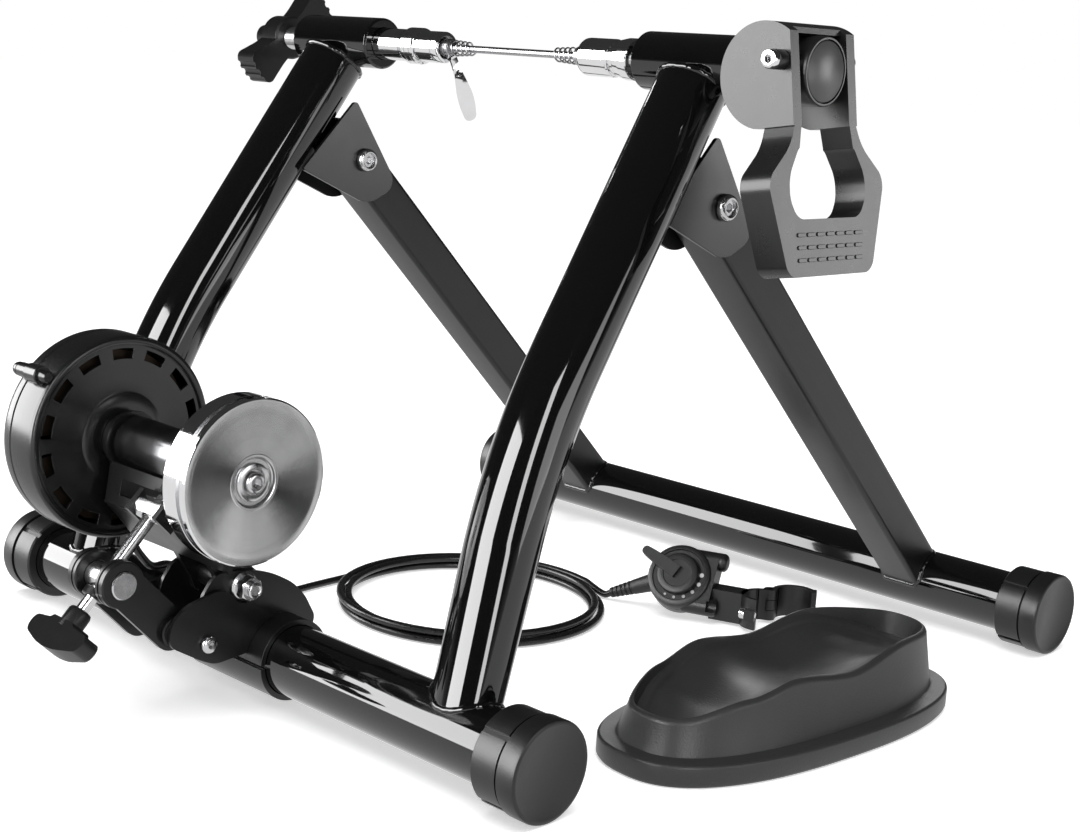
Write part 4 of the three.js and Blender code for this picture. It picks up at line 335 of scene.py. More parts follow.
# A revolved shape on the X axis, from pairs of place along X and radius
def turned(profile, segments=96):
    bm = bmesh.new()
    closed = tuple(profile[0]) == tuple(profile[-1])
    verts = [bm.verts.new((along, 0, radius))
             for along, radius in (profile[:-1] if closed else profile)]
    ends = verts + verts[:1] if closed else verts
    edges = [bm.edges.new(pair) for pair in zip(ends, ends[1:])]
    bmesh.ops.spin(bm, geom=verts + edges, cent=(0, 0, 0), axis=(1, 0, 0), dvec=(0, 0, 0),
                   angle=fullTurn, steps=segments, use_merge=True, use_duplicate=False)
    bmesh.ops.remove_doubles(bm, verts=bm.verts, dist=0.001)
    bmesh.ops.recalc_face_normals(bm, faces=bm.faces)
    return bm


# A profile whose places are measured from a start
def beyond(start, *profile):
    return [(start + along, radius) for along, radius in profile]


def bar(radius, start, end, segments=48):
    return turned([(start, 0), (start, radius), (end, radius), (end, 0)], segments)


# Pushes a drawn face out into a solid
def extruded(bm, way):
    grown = bmesh.ops.extrude_face_region(bm, geom=bm.faces[:])
    bmesh.ops.translate(bm, vec=way, verts=[
        item for item in grown["geom"] if isinstance(item, bmesh.types.BMVert)])
    bmesh.ops.recalc_face_normals(bm, faces=bm.faces)
    return bm


# A plate drawn in Y and Z, from one X to another; corners are (y, z, rounding), and a
# rounding takes no more than its share of the shorter side next to it
def plate(corners, start, end, segments=6):
    bm = bmesh.new()
    verts = [bm.verts.new((start, corner[0], corner[1])) for corner in corners]
    bm.faces.new(verts)
    limits = [0.45 * min((verts[i].co - verts[i - 1].co).length, (
        verts[i].co - verts[(i + 1) % len(verts)].co).length) for i in range(len(verts))]
    for vert, corner, limit in zip(verts, corners, limits):
        if len(corner) > 2 and corner[2] > 0:
            bmesh.ops.bevel(bm, geom=[vert], offset=min(corner[2], limit),
                            offset_type="OFFSET", segments=segments, profile=0.5,
                            affect="VERTICES", material=-1)
    return extruded(bm, (end - start, 0, 0))


def box(size, place=(0, 0, 0)):
    bm = bmesh.new()
    bmesh.ops.create_cube(bm, size=1)
    bmesh.ops.scale(bm, verts=bm.verts, vec=Vector(size))
    return moved(bm, place)


# One solid from several, or one solid less several
def carved(bm, others, operation="DIFFERENCE"):
    meshes = []
    for part in (bm, *others):
        meshes.append(bpy.data.meshes.new("part"))
        bmesh.ops.recalc_face_normals(part, faces=part.faces)
        part.to_mesh(meshes[-1])
        part.free()
    pieces = [linked("part", mesh) for mesh in meshes]
    for tool in pieces[1:]:
        step = pieces[0].modifiers.new("step", "BOOLEAN")
        step.operation, step.solver, step.object = operation, "EXACT", tool
    evaluated = pieces[0].evaluated_get(bpy.context.evaluated_depsgraph_get())
    mesh = bpy.data.meshes.new_from_object(evaluated)
    result = bmesh.new()
    result.from_mesh(mesh)
    for piece in pieces:
        bpy.data.objects.remove(piece)
    for used in (*meshes, mesh):
        bpy.data.meshes.remove(used)
    return result


def fused(bm, *others):
    return carved(bm, others, "UNION")


def polyCurve(name, points, radius, rings, closed=False):
    curve = bpy.data.curves.new(name, "CURVE")
    curve.dimensions, curve.bevel_depth, curve.bevel_resolution = "3D", radius, rings
    curve.use_fill_caps = not closed
    spline = curve.splines.new("POLY")
    spline.points.add(len(points) - 1)
    for target, point in zip(spline.points, points):
        target.co = (*point, 1)
    spline.use_cyclic_u, spline.use_smooth = closed, True
    return curve


# A round tube or bead along points; a closed one joins its ends
def tubeAlong(points, radius, rings=12, closed=False):
    curve = polyCurve("route", points, radius, rings, closed)
    route = linked("route", curve)
    mesh = bpy.data.meshes.new_from_object(
        route.evaluated_get(bpy.context.evaluated_depsgraph_get()))
    bm = bmesh.new()
    bm.from_mesh(mesh)
    bpy.data.objects.remove(route)
    bpy.data.curves.remove(curve)
    bpy.data.meshes.remove(mesh)
    bmesh.ops.remove_doubles(bm, verts=bm.verts, dist=0.001)
    return bm


# Where a straight leg with the given outline meets a cross tube along X
def meetingLine(foot, way, outline, centre, radius):
    across = Vector((1, 0, 0)) - way * way.x
    across.normalize()
    third = way.cross(across)
    places = []
    for first, second in outline:
        start = foot + across * first + third * second
        flatWay = Vector((0, way.y, way.z))
        flatStart = Vector((0, start.y - centre.y, start.z - centre.z))
        a, b = flatWay.dot(flatWay), 2 * flatWay.dot(flatStart)
        c = flatStart.dot(flatStart) - radius ** 2
        root = math.sqrt(max(b * b - 4 * a * c, 0))
        places.append(start + way * ((-b - root) / (2 * a)))
    return places


weld = {"radius": 1.9, "ripple": 0.35, "rippleLength": 2.6, "steps": 220}


# A weld bead follows a closed line, with the ripples of its passes
def weldBead(name, line, body, seed=0.0):
    lengths = [(second - first).length for first, second in zip(line, line[1:] + line[:1])]
    total = sum(lengths)
    bead = []
    for i in range(weld["steps"]):
        goal, k = total * i / weld["steps"], 0
        while goal > lengths[k]:
            goal, k = goal - lengths[k], k + 1
        bead.append(line[k].lerp(line[(k + 1) % len(line)], goal / lengths[k]))
    bm = tubeAlong(bead, weld["radius"], rings=4, closed=True)
    for vert in bm.verts:
        swell = noise.noise(vert.co / weld["rippleLength"] + Vector((seed, 0, 0)))
        vert.co += vert.normal * swell * weld["ripple"]
    return addPiece(name, bm, "glossPaint", body, sharp=80)


# Main legs: straight, bent and straight again, under one coat of paint with their welds
mainLeg = {
    "topSide": 160, "bendSide": 172.5, "bendBack": 140, "bendHeight": 176, "footSide": 179,
    "lead": 55, "topGap": 15, "bendSteps": 24, "footSink": 6, "rings": 22,
    "footFlat": 0.83, "flatLength": 52, "flatEase": 1.6, "weldReach": 60, "beadBack": 0.6,
    "beadInset": 0.7, "outlineSteps": 72,
}


def mainLegRoute(side):
    top = Vector((side * mainLeg["topSide"], 0, axle.z))
    bend = Vector((side * mainLeg["bendSide"], -mainLeg["bendBack"], mainLeg["bendHeight"]))
    foot = Vector((side * mainLeg["footSide"], rearTube.y, rearTube.z))
    into, out = (top - bend).normalized(), (foot - bend).normalized()
    first, last = bend + into * mainLeg["lead"], bend + out * mainLeg["lead"]
    route = [top - into * mainLeg["topGap"]]
    for i in range(mainLeg["bendSteps"] + 1):
        share = i / mainLeg["bendSteps"]
        route.append(first.lerp(bend, share).lerp(bend.lerp(last, share), share))
    route.append(foot - out * mainLeg["footSink"])
    return route, into, out, foot


def circleOutline(radius):
    count = mainLeg["outlineSteps"]
    return [(radius * math.cos(fullTurn * i / count), radius * math.sin(fullTurn * i / count))
            for i in range(count)]


def addMainLeg(label, side):
    route, into, out, foot = mainLegRoute(side)
    radius, flat = stand["tubeRadius"], mainLeg["footFlat"]
    leg = tubeAlong(route, radius, mainLeg["rings"])
    # The foot is pressed flatter towards its weld
    third = out.cross(Vector((1, 0, 0)) - out * out.x).normalized()
    for vert in leg.verts:
        near = 1 - min((foot - vert.co).dot(out) / mainLeg["flatLength"], 1)
        near = min(near * mainLeg["flatEase"], 1)
        near *= near * (3 - 2 * near)
        vert.co -= third * (vert.co - foot).dot(third) * (1 - flat) * near
    addPiece(f"mainLeg{label}", leg, "glossPaint")
    outline = [(first, second * flat) for first, second in circleOutline(radius)]
    line = meetingLine(foot - out * mainLeg["weldReach"], out, outline, rearTube, radius)
    weldBead(f"footWeld{label}", line, "stand")
    across = into.cross(Vector((1, 0, 0))).normalized()
    other = into.cross(across)
    middle, bead = route[0] - into * mainLeg["beadBack"], radius - mainLeg["beadInset"]
    weldBead(f"barrelWeld{label}", [middle + across * bead * first + other * bead * second
                                    for first, second in circleOutline(1)], "stand")


# Cross tubes with their end caps
endCap = {
    "radius": 28, "rimRound": 1.6, "discLength": 12, "grooveWidth": 1.8, "grooveDepth": 2.2,
    "collarRadius": 27.2, "length": 32, "endWall": 9, "slotCount": 4, "slotWidth": 3.2,
    "slotDepth": 1.6, "faceRing": 24.5, "faceDip": 0.5,
}


def capShape():
    cap = endCap
    grooveEnd = cap["discLength"] + cap["grooveWidth"]
    bore = tubeRoom
    body = turned([
        (cap["faceDip"], 0), (cap["faceDip"], cap["faceRing"]), (0, cap["faceRing"] + 0.8),
        (0, cap["radius"] - cap["rimRound"]),
        (cap["rimRound"] * 0.3, cap["radius"] - cap["rimRound"] * 0.3),
        (cap["rimRound"], cap["radius"]), (cap["discLength"], cap["radius"]),
        (cap["discLength"], cap["radius"] - cap["grooveDepth"]),
        (grooveEnd, cap["radius"] - cap["grooveDepth"]), (grooveEnd, cap["collarRadius"]),
        (cap["length"] - 1, cap["collarRadius"]), (cap["length"], cap["collarRadius"] - 1),
        (cap["length"], bore), (cap["endWall"], bore), (cap["endWall"], 0)], 128)
    length = cap["length"] - grooveEnd + overrun
    slots = [moved(box((length, cap["slotWidth"], 2 * cap["slotDepth"]),
                       (grooveEnd + length / 2, 0, cap["collarRadius"])),
                   turns=[((i + 0.5) * 360 / cap["slotCount"], "X")])
             for i in range(cap["slotCount"])]
    return carved(body, slots)


def addCrossTube(label, centre, halfWidth, body):
    end = halfWidth - endCap["endWall"] - gap
    radius, wall = stand["tubeRadius"], stand["tubeWall"]
    tube = turned([(-end, radius - wall), (-end, radius), (end, radius), (end, radius - wall),
                   (-end, radius - wall)], 96)
    addPiece(f"{label}CrossTube", moved(tube, centre), "glossPaint", body)
    for word, side in sides:
        cap = moved(capShape(), turns=[] if side < 0 else [(180, "Z")])
        addPiece(f"{label}EndCap{word}", moved(cap, centre + Vector((side * halfWidth, 0, 0))),
                 "capPlastic", body, bevel=0.35)


barrel = {"radius": 17, "innerEnd": 119, "outerEnd": 197, "chamfer": 1.2, "neckLength": 14}


def addBarrel(label, side, innerBore, outerBore):
    start, end, edge = barrel["innerEnd"], barrel["outerEnd"], barrel["chamfer"]
    step = end - barrel["neckLength"] if side < 0 else start + barrel["neckLength"]
    shape = turned([
        (start, innerBore), (start, barrel["radius"] - edge), (start + edge, barrel["radius"]),
        (end - edge, barrel["radius"]), (end, barrel["radius"] - edge), (end, outerBore),
        (step, outerBore), (step, innerBore), (start, innerBore)], 96)
    addPiece(f"axleBarrel{label}", moved(shape, axle, [] if side > 0 else [(180, "Z")]),
             "glossPaint", bevel=0.3)


for label, side in sides:
    addMainLeg(label, side)
addBarrel("Left", -1, 10.8, 8.3)
addBarrel("Right", 1, 8.1, 11)
addCrossTube("rear", rearTube, stand["rearHalfWidth"], "stand")
addCrossTube("front", frontTube, stand["frontHalfWidth"], "folding_frame")
print("stand: legs, barrels, cross tubes, caps")


# A copy of a CAD node with softened edges, for pieces whose shape is right as it is
def softened(node, look, body, width=0.3):
    bm = bmesh.new()
    bm.from_mesh(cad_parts[node].data)
    bmesh.ops.remove_doubles(bm, verts=bm.verts, dist=0.00001)
    bmesh.ops.dissolve_limit(bm, angle_limit=math.radians(0.6), use_dissolve_boundaries=False,
                             verts=bm.verts, edges=bm.edges)
    words = node.split("_")
    name = words[0] + "".join(word.title() for word in words[1:])
    addPiece(name, bm, look, body, bevel=width, sharp=34, drawn=False)


# A ring sector round X, turned from +Z towards -Y
def sector(inner, outer, start, end, middle, angle):
    bm = bmesh.new()
    bm.faces.new([bm.verts.new(place) for place in (
        (start, 0, inner), (end, 0, inner), (end, 0, outer), (start, 0, outer))])
    bmesh.ops.spin(bm, geom=bm.verts[:] + bm.edges[:] + bm.faces[:], cent=(0, 0, 0),
                   axis=(1, 0, 0), dvec=(0, 0, 0), angle=math.radians(angle), steps=10,
                   use_merge=False, use_duplicate=False)
    return moved(bm, turns=[(middle - angle / 2, "X")])


# A screw head on X with a hexagonal socket, from its seat upwards
def socketHead(profile, socket, top, depth):
    return carved(turned(profile, 64), [bar(socket, top - depth, top + overrun, 6)])


# A hexagon whose corners are turned off at both ends
def hexNut(radius, start, end, turnOff=1.0):
    flat = radius * math.cos(math.pi / 6)
    limit = turned([(start, 0), (start, flat - 0.1), (start + turnOff, radius),
                    (end - turnOff, radius), (end, flat - 0.1), (end, 0)], 64)
    return carved(limit, [bar(radius, start - 1, end + 1, 6)], "INTERSECT")


drum = {
    "radius": 61, "face": -64, "seam": -87, "back": -97, "wall": 2.4, "dish": 1.4,
    "slotCount": 14, "slotAngle": 15.5, "slotInner": 47.2, "slotOuter": 53.4, "shaftHole": 8,
    "stopAngle": 141, "stopLift": 4, "glandAngle": -70.4, "glandLength": 17.2,
    "sleeveRadius": 7.7, "shaftRoom": 5.3, "sleeveEnd": -84,
}


# Sets a shape on the drum's edge at an angle from +Y towards +Z
def onDrum(bm, angle, distance):
    turnedBy = math.radians(angle)
    return moved(bm, unitAxis + Vector((
        0, distance * math.cos(turnedBy), distance * math.sin(turnedBy))), [(angle, "X")])


def addDrum():
    radius, face, seam, back, wall = (drum[key] for key in (
        "radius", "face", "seam", "back", "wall"))
    end, dish = seam + gap, face - drum["dish"]
    cover = turned([
        (end, radius - wall), (end, radius - 0.7), (end + 0.7, radius), (face - 2.6, radius),
        (face - 1.2, radius - 0.35), (face - 0.35, radius - 1.2), (face, radius - 2.6),
        (face, 57.2), (face - 0.3, 56.4), (dish, 55.4), (dish, 45), (dish + 0.2, 36),
        (dish + 0.5, 28), (dish + 0.8, 26.6), (face - 0.2, 26), (face - 0.1, 20.4), (face, 19.6),
        (face, drum["shaftHole"]), (dish - wall, drum["shaftHole"]), (dish - wall, radius - wall),
        (end, radius - wall)], 144)
    slots = [sector(drum["slotInner"], drum["slotOuter"], face - overrun, face + overrun,
                    (i + 0.5) * 360 / drum["slotCount"] - 90, drum["slotAngle"])
             for i in range(drum["slotCount"])]
    cover = carved(cover, [joined(*slots)])
    addPiece("drumCover", moved(cover, unitAxis), "drumPlastic", "resistance_unit", bevel=0.3)
    inside = back + wall
    shell = turned([
        (seam, radius - wall), (seam, radius - 0.7), (seam - 0.7, radius), (back + 5, radius),
        (back + 2.4, radius - 0.6), (back + 0.8, radius - 2), (back, radius - 5), (back, 30),
        (back - 0.5, 28.8), (back - 1.8, 27), (back - wall, 24), (back - wall, 0), (inside, 0),
        (inside, radius - wall), (seam, radius - wall)], 144)
    sleeve = turned([
        (inside - 1.2, drum["shaftRoom"]), (inside - 1.2, drum["sleeveRadius"]),
        (drum["sleeveEnd"], drum["sleeveRadius"]), (drum["sleeveEnd"], drum["shaftRoom"]),
        (inside - 1.2, drum["shaftRoom"])], 48)
    stop = turned(beyond(
        back, (0, 0), (0, 2.6), (0.8, 3.6), (2.6, 4.1), (4.4, 4.1), (4.7, 3.5), (5.3, 3.5),
        (5.6, 4.3), (15, 4.5), (15, 5), (15.6, 5.5), (27, 5.5), (27.6, 5), (27.6, 3.6),
        (33, 3.4), (34, 2.6), (34, 0)), 48)
    relief = [(-wall, 0), (-wall, 5), (3.4, 5), (3.8, 4.4)]
    for i in range(4):
        start, wide = 3.8 + i * 3.1, 4.6 - i * 0.45
        relief += [(start + 0.5, wide), (start + 1.9, wide - 0.1), (start + 2.3, wide - 0.9),
                   (start + 2.9, wide - 1)]
    relief += [(drum["glandLength"] - 0.3, 2.9), (drum["glandLength"], 2.6),
               (drum["glandLength"], 0)]
    gland = moved(turned(relief, 40), ((back + seam) / 2, 0, 0), [(90, "Z")])
    housing = joined(moved(shell, unitAxis), moved(sleeve, unitAxis),
                     onDrum(stop, drum["stopAngle"], radius + drum["stopLift"]),
                     onDrum(gland, drum["glandAngle"], radius))
    addPiece("drumHousing", housing, "drumPlastic", "resistance_unit")


rotor = {"rimFrom": 44.5}


def addRotor():
    wheel = turned([
        (47, 5.3), (47, 13), (53, 13), (53, 36), (45, 36), (45, 45.9), (45.35, 46.65), (46.1, 47),
        (57.2, 47), (57.5, 46.7), (57.5, 44.4), (60.9, 44.4), (60.9, 46.7), (61.2, 47),
        (64, 47), (64.7, 46.7), (65, 46), (65, 42.3), (64.94, 42), (63.62, 16),
        (63.8, 15.6), (63.8, 14.4), (63.5, 14), (62.4, 13.6), (61.8, 13), (61.8, 5.3),
        (47, 5.3)], 200)
    piece = addPiece("flywheel", moved(wheel, unitAxis), "turnedSteel", "rotor", sharp=14)
    # The rim is polished, and the turned face keeps its rings
    piece.data.materials.append(finish["polishedChrome"])
    middle = toFrame @ unitAxis
    for face in piece.data.polygons:
        if math.hypot(face.center.y - middle.y, face.center.z - middle.z) > rotor["rimFrom"] * mm:
            face.material_index = 1
    head = socketHead([(62.1, 0), (62.1, 5.6), (62.5, 6), (64.4, 6), (65.5, 5.5), (66, 4.6),
                       (66.1, 3.6), (66.1, 0)], 3, 66.1, 2.6)
    washer = turned([(61.85, 7), (61.85, 10.4), (62.3, 10.8), (63, 10.8), (63.3, 10.4),
                     (63.3, 7), (61.85, 7)], 64)
    addPiece("flywheelScrew", moved(joined(head, washer), unitAxis), "zincPlate", "rotor",
             bevel=0.12)
    tyreRoller = turned([
        (-91, 0), (-91, 4.4), (-90.4, 5), (-51.8, 5), (-51.8, 13.8), (-51.4, 14.9),
        (-50.4, 15.5), (33.4, 15.5), (34.4, 14.9), (34.8, 13.8), (34.8, 5), (59.4, 5),
        (60, 4.4), (60, 0)], 96)
    addPiece("roller", moved(tyreRoller, unitAxis), "rolledSteel", "rotor")
    softened("eddy_disc", "brakeCopper", "rotor", width=0.2)
    softened("magnet_carrier", "rolledSteel", "magnets", width=0.2)


addDrum()
addRotor()
softened("unit_yoke", "bracketPaint", "resistance_unit", width=0.55)
softened("bearing_left", "zincPlate", "resistance_unit")
softened("bearing_right", "zincPlate", "resistance_unit")
softened("trunnion", "zincPlate", "barrel_nut")
print("resistance unit: drum, rotor, yoke")


clamp = {
    "plateReach": 58.5, "outerReach": 77.5, "inner": 18.5, "thickness": 2.6, "outerInner": 21.5,
    "saddleHalf": 38, "saddleRadius": 24.5, "armInner": 13.6, "armOuter": 17.8, "armWidth": 23,
    "earInner": 9.4, "earRadius": 13.5, "pinRadius": 8, "spacerRadius": 8.5, "spacerDip": 7.1,
    "crossRadius": 3, "pivotRadius": 5, "flangeRoom": 9.6, "parting": 1.2,
    # Corners of the plates from the tube's centre: ahead, above and rounding, as shares of reach
    "plateShares": [
        (0.4, 0.15, 0.08), (0.49, 0.28, 0.1), (0.28, 0.65, 0.2), (-0.18, 0.91, 0.25),
        (-0.77, 0.97, 0.12), (-0.95, 0.72, 0.1), (-1, 0.2, 0.06), (-0.7, 0.1, 0.06),
        (-0.35, 0.07, 0)],
    "outerShares": [
        (-1, 0.25, 0.05), (-1, 0.4, 0.07), (-0.88, 0.53, 0.08), (-0.56, 0.61, 0.06),
        (-0.06, 0.32, 0), (-0.24, 0.08, 0), (-0.6, 0.04, 0.05), (-0.74, 0.1, 0.05)],
}
crossPoint = rearTube + Vector((0, -52, 16.5))
spacerPoint = rearTube + Vector((0, -72, 26.5))


def sharedCorners(shares, reach):
    return [(rearTube.y + ahead * reach, rearTube.z + above * reach, rounding * reach)
            for ahead, above, rounding in shares]


def barAt(point, radius, start, end, segments=64):
    return moved(bar(radius, start, end, segments), (0, point.y, point.z))


def halfShell(upper):
    half, radius = clamp["saddleHalf"], clamp["saddleRadius"]
    shell = turned([(-half, tubeRoom), (-half, radius), (half, radius), (half, tubeRoom),
                    (-half, tubeRoom)], 96)
    side = 1 if upper else -1
    away = box((3 * half, 4 * radius, 2 * radius), (0, 0, side * (clamp["parting"] - radius)))
    return moved(carved(shell, [away]), rearTube)


def addSaddle():
    corners, inner = sharedCorners(clamp["plateShares"], clamp["plateReach"]), clamp["inner"]
    outer = inner + clamp["thickness"]
    whole = fused(halfShell(True), plate(corners, -outer, -inner, 10),
                  plate(corners, inner, outer, 10))
    half = outer + overrun
    whole = carved(whole, [
        barAt(rearTube, tubeRoom, -half, half, 96),
        joined(barAt(pivotPoint, clamp["pivotRadius"] + gap, -half, half),
               barAt(crossPoint, clamp["crossRadius"] + gap, -half, half))])
    addPiece("tubeSaddle", whole, "bracketPaint", bevel=0.5)
    addPiece("tubeStrap", halfShell(False), "bracketPaint", bevel=0.5)


def addClampPlate(label, side):
    along = (armPin - spacerPoint).normalized()
    across = Vector((0, -along.z, along.y)) * clamp["armWidth"] / 2
    strap = [(point.y, point.z, 0) for point in (
        spacerPoint - across, armPin - across, armPin + across, spacerPoint + across)]
    armInner, armOuter, ear = clamp["armInner"], clamp["armOuter"], clamp["earRadius"]
    panelInner = clamp["outerInner"]
    panel = plate(sharedCorners(clamp["outerShares"], clamp["outerReach"]), panelInner,
                  panelInner + clamp["thickness"], 10)
    earDisc = turned([
        (clamp["earInner"], 0), (clamp["earInner"], ear - 0.8), (clamp["earInner"] + 0.8, ear),
        (12.3, ear), (12.6, ear - 1.3), (13.5, ear - 1.3), (13.8, ear), (armOuter - 0.8, ear),
        (armOuter, ear - 0.8), (armOuter, 0)], 72)
    ribs, dip, wide = [], clamp["spacerDip"], clamp["spacerRadius"]
    for i in range(3):
        start = armOuter - 0.2 + i * 1.25
        ribs += [(start, dip), (start + 0.2, wide), (start + 0.75, wide), (start + 0.95, dip)]
    spacer = turned([(armOuter - gap, 0), (armOuter - gap, dip), *ribs,
                     (panelInner + gap, dip), (panelInner + gap, 0)], 56)
    whole = fused(panel, plate(strap, armInner, armOuter, 1),
                  moved(earDisc, (0, armPin.y, armPin.z)),
                  barAt(spacerPoint, clamp["armWidth"] / 2, armInner, armOuter, 72),
                  moved(spacer, (0, spacerPoint.y, spacerPoint.z)))
    whole = carved(whole, [
        barAt(rearTube, clamp["saddleRadius"] + gap, 0, 40, 96),
        joined(barAt(armPin, clamp["pinRadius"] + gap, 0, 40),
               barAt(pivotPoint, clamp["flangeRoom"], 0, 40),
               barAt(crossPoint, clamp["crossRadius"] + gap, 0, 40))])
    if side < 0:
        bmesh.ops.scale(whole, vec=(-1, 1, 1), verts=whole.verts)
    addPiece(f"clampPlate{label}", whole, "bracketPaint", bevel=0.45)


def addClampBolts():
    seat = clamp["outerInner"] + clamp["thickness"] + gap
    head = socketHead(beyond(seat, (0, 0), (0, 4.9), (0.3, 5.2), (1.8, 5.2), (2.9, 4.4),
                             (3.4, 3.2), (3.4, 0)), 1.9, seat + 3.4, 2)
    bolt = joined(head, bar(clamp["crossRadius"], -seat - 3.2, seat + 0.5),
                  hexNut(5.2, -seat - 3.4, -seat, 0.6))
    addPiece("crossBolt", moved(bolt, crossPoint), "zincPlate", bevel=0.15)
    seat = clamp["inner"] + clamp["thickness"] + gap
    parts = [bar(4.9, -seat - 3, seat + 11.4)]
    for side in (-1, 1):
        flange = turned(beyond(seat, (0, 0), (0, 8.8), (0.4, 9), (1, 8.9), (2.2, 7.4),
                               (2.2, 0)), 72)
        nut = hexNut(7.6, seat + 1.6, seat + 8.5, 0.9)
        parts += [aboutZ(part, 180 if side < 0 else 0) for part in (flange, nut)]
    parts.append(turned(beyond(seat, (11, 0), (11, 4.9), (11.6, 4.6), (12, 4), (11.7, 3.1),
                               (11, 2.6), (11, 0)), 48))
    addPiece("pivotBolt", moved(joined(*parts), pivotPoint), "zincPlate", bevel=0.15)


tension = {
    "tipPast": 9, "barFromPin": 40, "barHalf": 26, "barWidth": 14, "barDepth": 14.5, "bow": 4,
    "barThinning": 0.22, "stemRadius": 7.4, "stemLength": 11,
}
rodWay = (trunnionPoint - armPin).normalized()
rodTilt = math.degrees(math.atan2(-rodWay.y, rodWay.z))


# Shapes drawn on X are stood up along the tension rod, from the pin at the arms
def alongRod(bm):
    return moved(bm, armPin, [(-90, "Y"), (rodTilt, "X")])


def addTensionScrew():
    pin = turned([(-19.2, 0), (-19.2, 7.3), (-18.5, 8), (18.5, 8), (19.2, 7.3), (19.2, 0)], 72)
    pin = carved(moved(pin, armPin), [alongRod(bar(4.3, -20, 20, 48))])
    addPiece("tensionPin", pin, "zincPlate", bevel=0.15)
    tip = (trunnionPoint - armPin).length + tension["tipPast"]
    rod = turned([(-tension["barFromPin"], 0), (-tension["barFromPin"], 3.9), (-14, 3.9),
                  (-13.6, 4), (tip - 1, 4), (tip, 3.2), (tip, 0)], 48)
    addPiece("tensionRod", alongRod(rod), "zincPlate", "tension_knob")
    half, low = tension["barHalf"], -tension["barFromPin"]
    bottom, top = low - tension["barDepth"] / 2, low + tension["barDepth"] / 2
    grip = plate([(-half, bottom + 3, 5), (0, bottom - tension["bow"], 24), (half, bottom + 3, 5),
                  (half, top - 2, 4), (11, top - 0.4, 4), (9.4, top + 1.6, 1.6),
                  (-9.4, top + 1.6, 1.6), (-11, top - 0.4, 4), (-half, top - 2, 4)],
                 -tension["barWidth"] / 2, tension["barWidth"] / 2, 6)
    for vert in grip.verts:  # the bar is thinner at its ends
        vert.co.x *= 1 - tension["barThinning"] * (vert.co.y / half) ** 2
    grip = aboutZ(grip)
    wide, tall = tension["stemRadius"], top + tension["stemLength"]
    stem = carved(turned([(top - 2, 0), (top - 2, wide + 0.4), (tall - 2, wide - 0.5),
                          (tall - 0.4, wide - 1.4), (tall, wide - 2.4), (tall, 0)], 64),
                  [moved(bar(wide + 0.4, top - 3, tall + 1, 6), turns=[(30, "X")])], "INTERSECT")
    collar = turned([(-13.3, 0), (-13.3, 6), (-12.8, 6.5), (-8.8, 6.5), (-8.3, 6), (-8.3, 0)], 56)
    grip = moved(grip, armPin, [(rodTilt, "X")])
    knob = joined(grip, alongRod(stem), alongRod(collar))
    addPiece("tensionKnob", knob, "knobPlastic", "tension_knob", nodes=["tension_screw"],
             bevel=1.1)


addSaddle()
for label, side in sides:
    addClampPlate(label, side)
addClampBolts()
addTensionScrew()
print("clamp: saddle, plates, bolts, tension screw")

hinge = {
    "inset": 17, "thickness": 2.6, "boltRadius": 4, "topAhead": 22.3, "topAbove": 41.3,
    "heelAhead": 9.2, "heelBelow": 6.2, "toe": (4, -31.5, 9), "tip": (31, -18.5, 12),
    "legWidth": 30, "legWall": 1.6, "legCorner": 3.4, "overhang": 24, "bushRadius": 6,
    "webStart": 12, "webLength": 11, "seatGap": 0.05,
}
foldWay = (frontTube - hingePoint).normalized()
foldTilt = math.degrees(math.atan2(foldWay.z, foldWay.y))


def addHinge(label, side):
    bend = mainLegRoute(side)[0]
    slope = mainLeg["bendBack"] / (stand["axleHeight"] - mainLeg["bendHeight"])

    def onLeg(ahead, above, rounding):
        height = hingePoint.z + above
        return (-slope * (stand["axleHeight"] - height) + ahead, height, rounding)

    corners = [onLeg(hinge["topAhead"], hinge["topAbove"], 4),
               onLeg(hinge["heelAhead"], -hinge["heelBelow"], 3)]
    corners += [(hingePoint.y + ahead, hingePoint.z + above, rounding)
                for ahead, above, rounding in (hinge["toe"], hinge["tip"])]
    middle, outer = side * mainLeg["topSide"], hinge["inset"] + hinge["thickness"]
    under = hinge["legWidth"] / 2 + gap + hinge["thickness"] / 2
    web = moved(box((2 * hinge["inset"] + hinge["thickness"], hinge["webLength"],
                     hinge["thickness"]), (0, -hinge["webStart"] - hinge["webLength"] / 2,
                                           -under)),
                (middle, hingePoint.y, hingePoint.z), [(foldTilt, "X")])
    whole = fused(plate(corners, middle - outer, middle - hinge["inset"], 12),
                  plate(corners, middle + hinge["inset"], middle + outer, 12), web)
    whole = carved(whole, [
        tubeAlong(bend, tubeRoom, mainLeg["rings"]),
        moved(bar(hinge["boltRadius"] + gap, middle - 30, middle + 30), (0, *hingePoint.yz))])
    addPiece(f"hingeBracket{label}", whole, "bracketPaint", bevel=0.6)
    seat = outer + gap
    head = socketHead(beyond(seat, (0, 0), (0, 7.6), (0.5, 8), (2.4, 8), (4, 7.4), (4.9, 6.4),
                             (5, 5.7), (4.7, 5.1), (3.3, 4.8), (3.3, 0)), 3, seat + 3.3, 2.4)
    bolt = joined(head, bar(hinge["boltRadius"], -seat - 5, seat + 0.5),
                  hexNut(7, -seat - 5.5, -seat, 0.8))
    addPiece(f"hingeBolt{label}", moved(bolt, (middle, *hingePoint.yz)), "zincPlate", bevel=0.18)


# A square bar along Y with rounded edges
def squareBar(half, rounding, start, end):
    return aboutZ(plate([(-half, -half, rounding), (half, -half, rounding),
                         (half, half, rounding), (-half, half, rounding)], start, end))


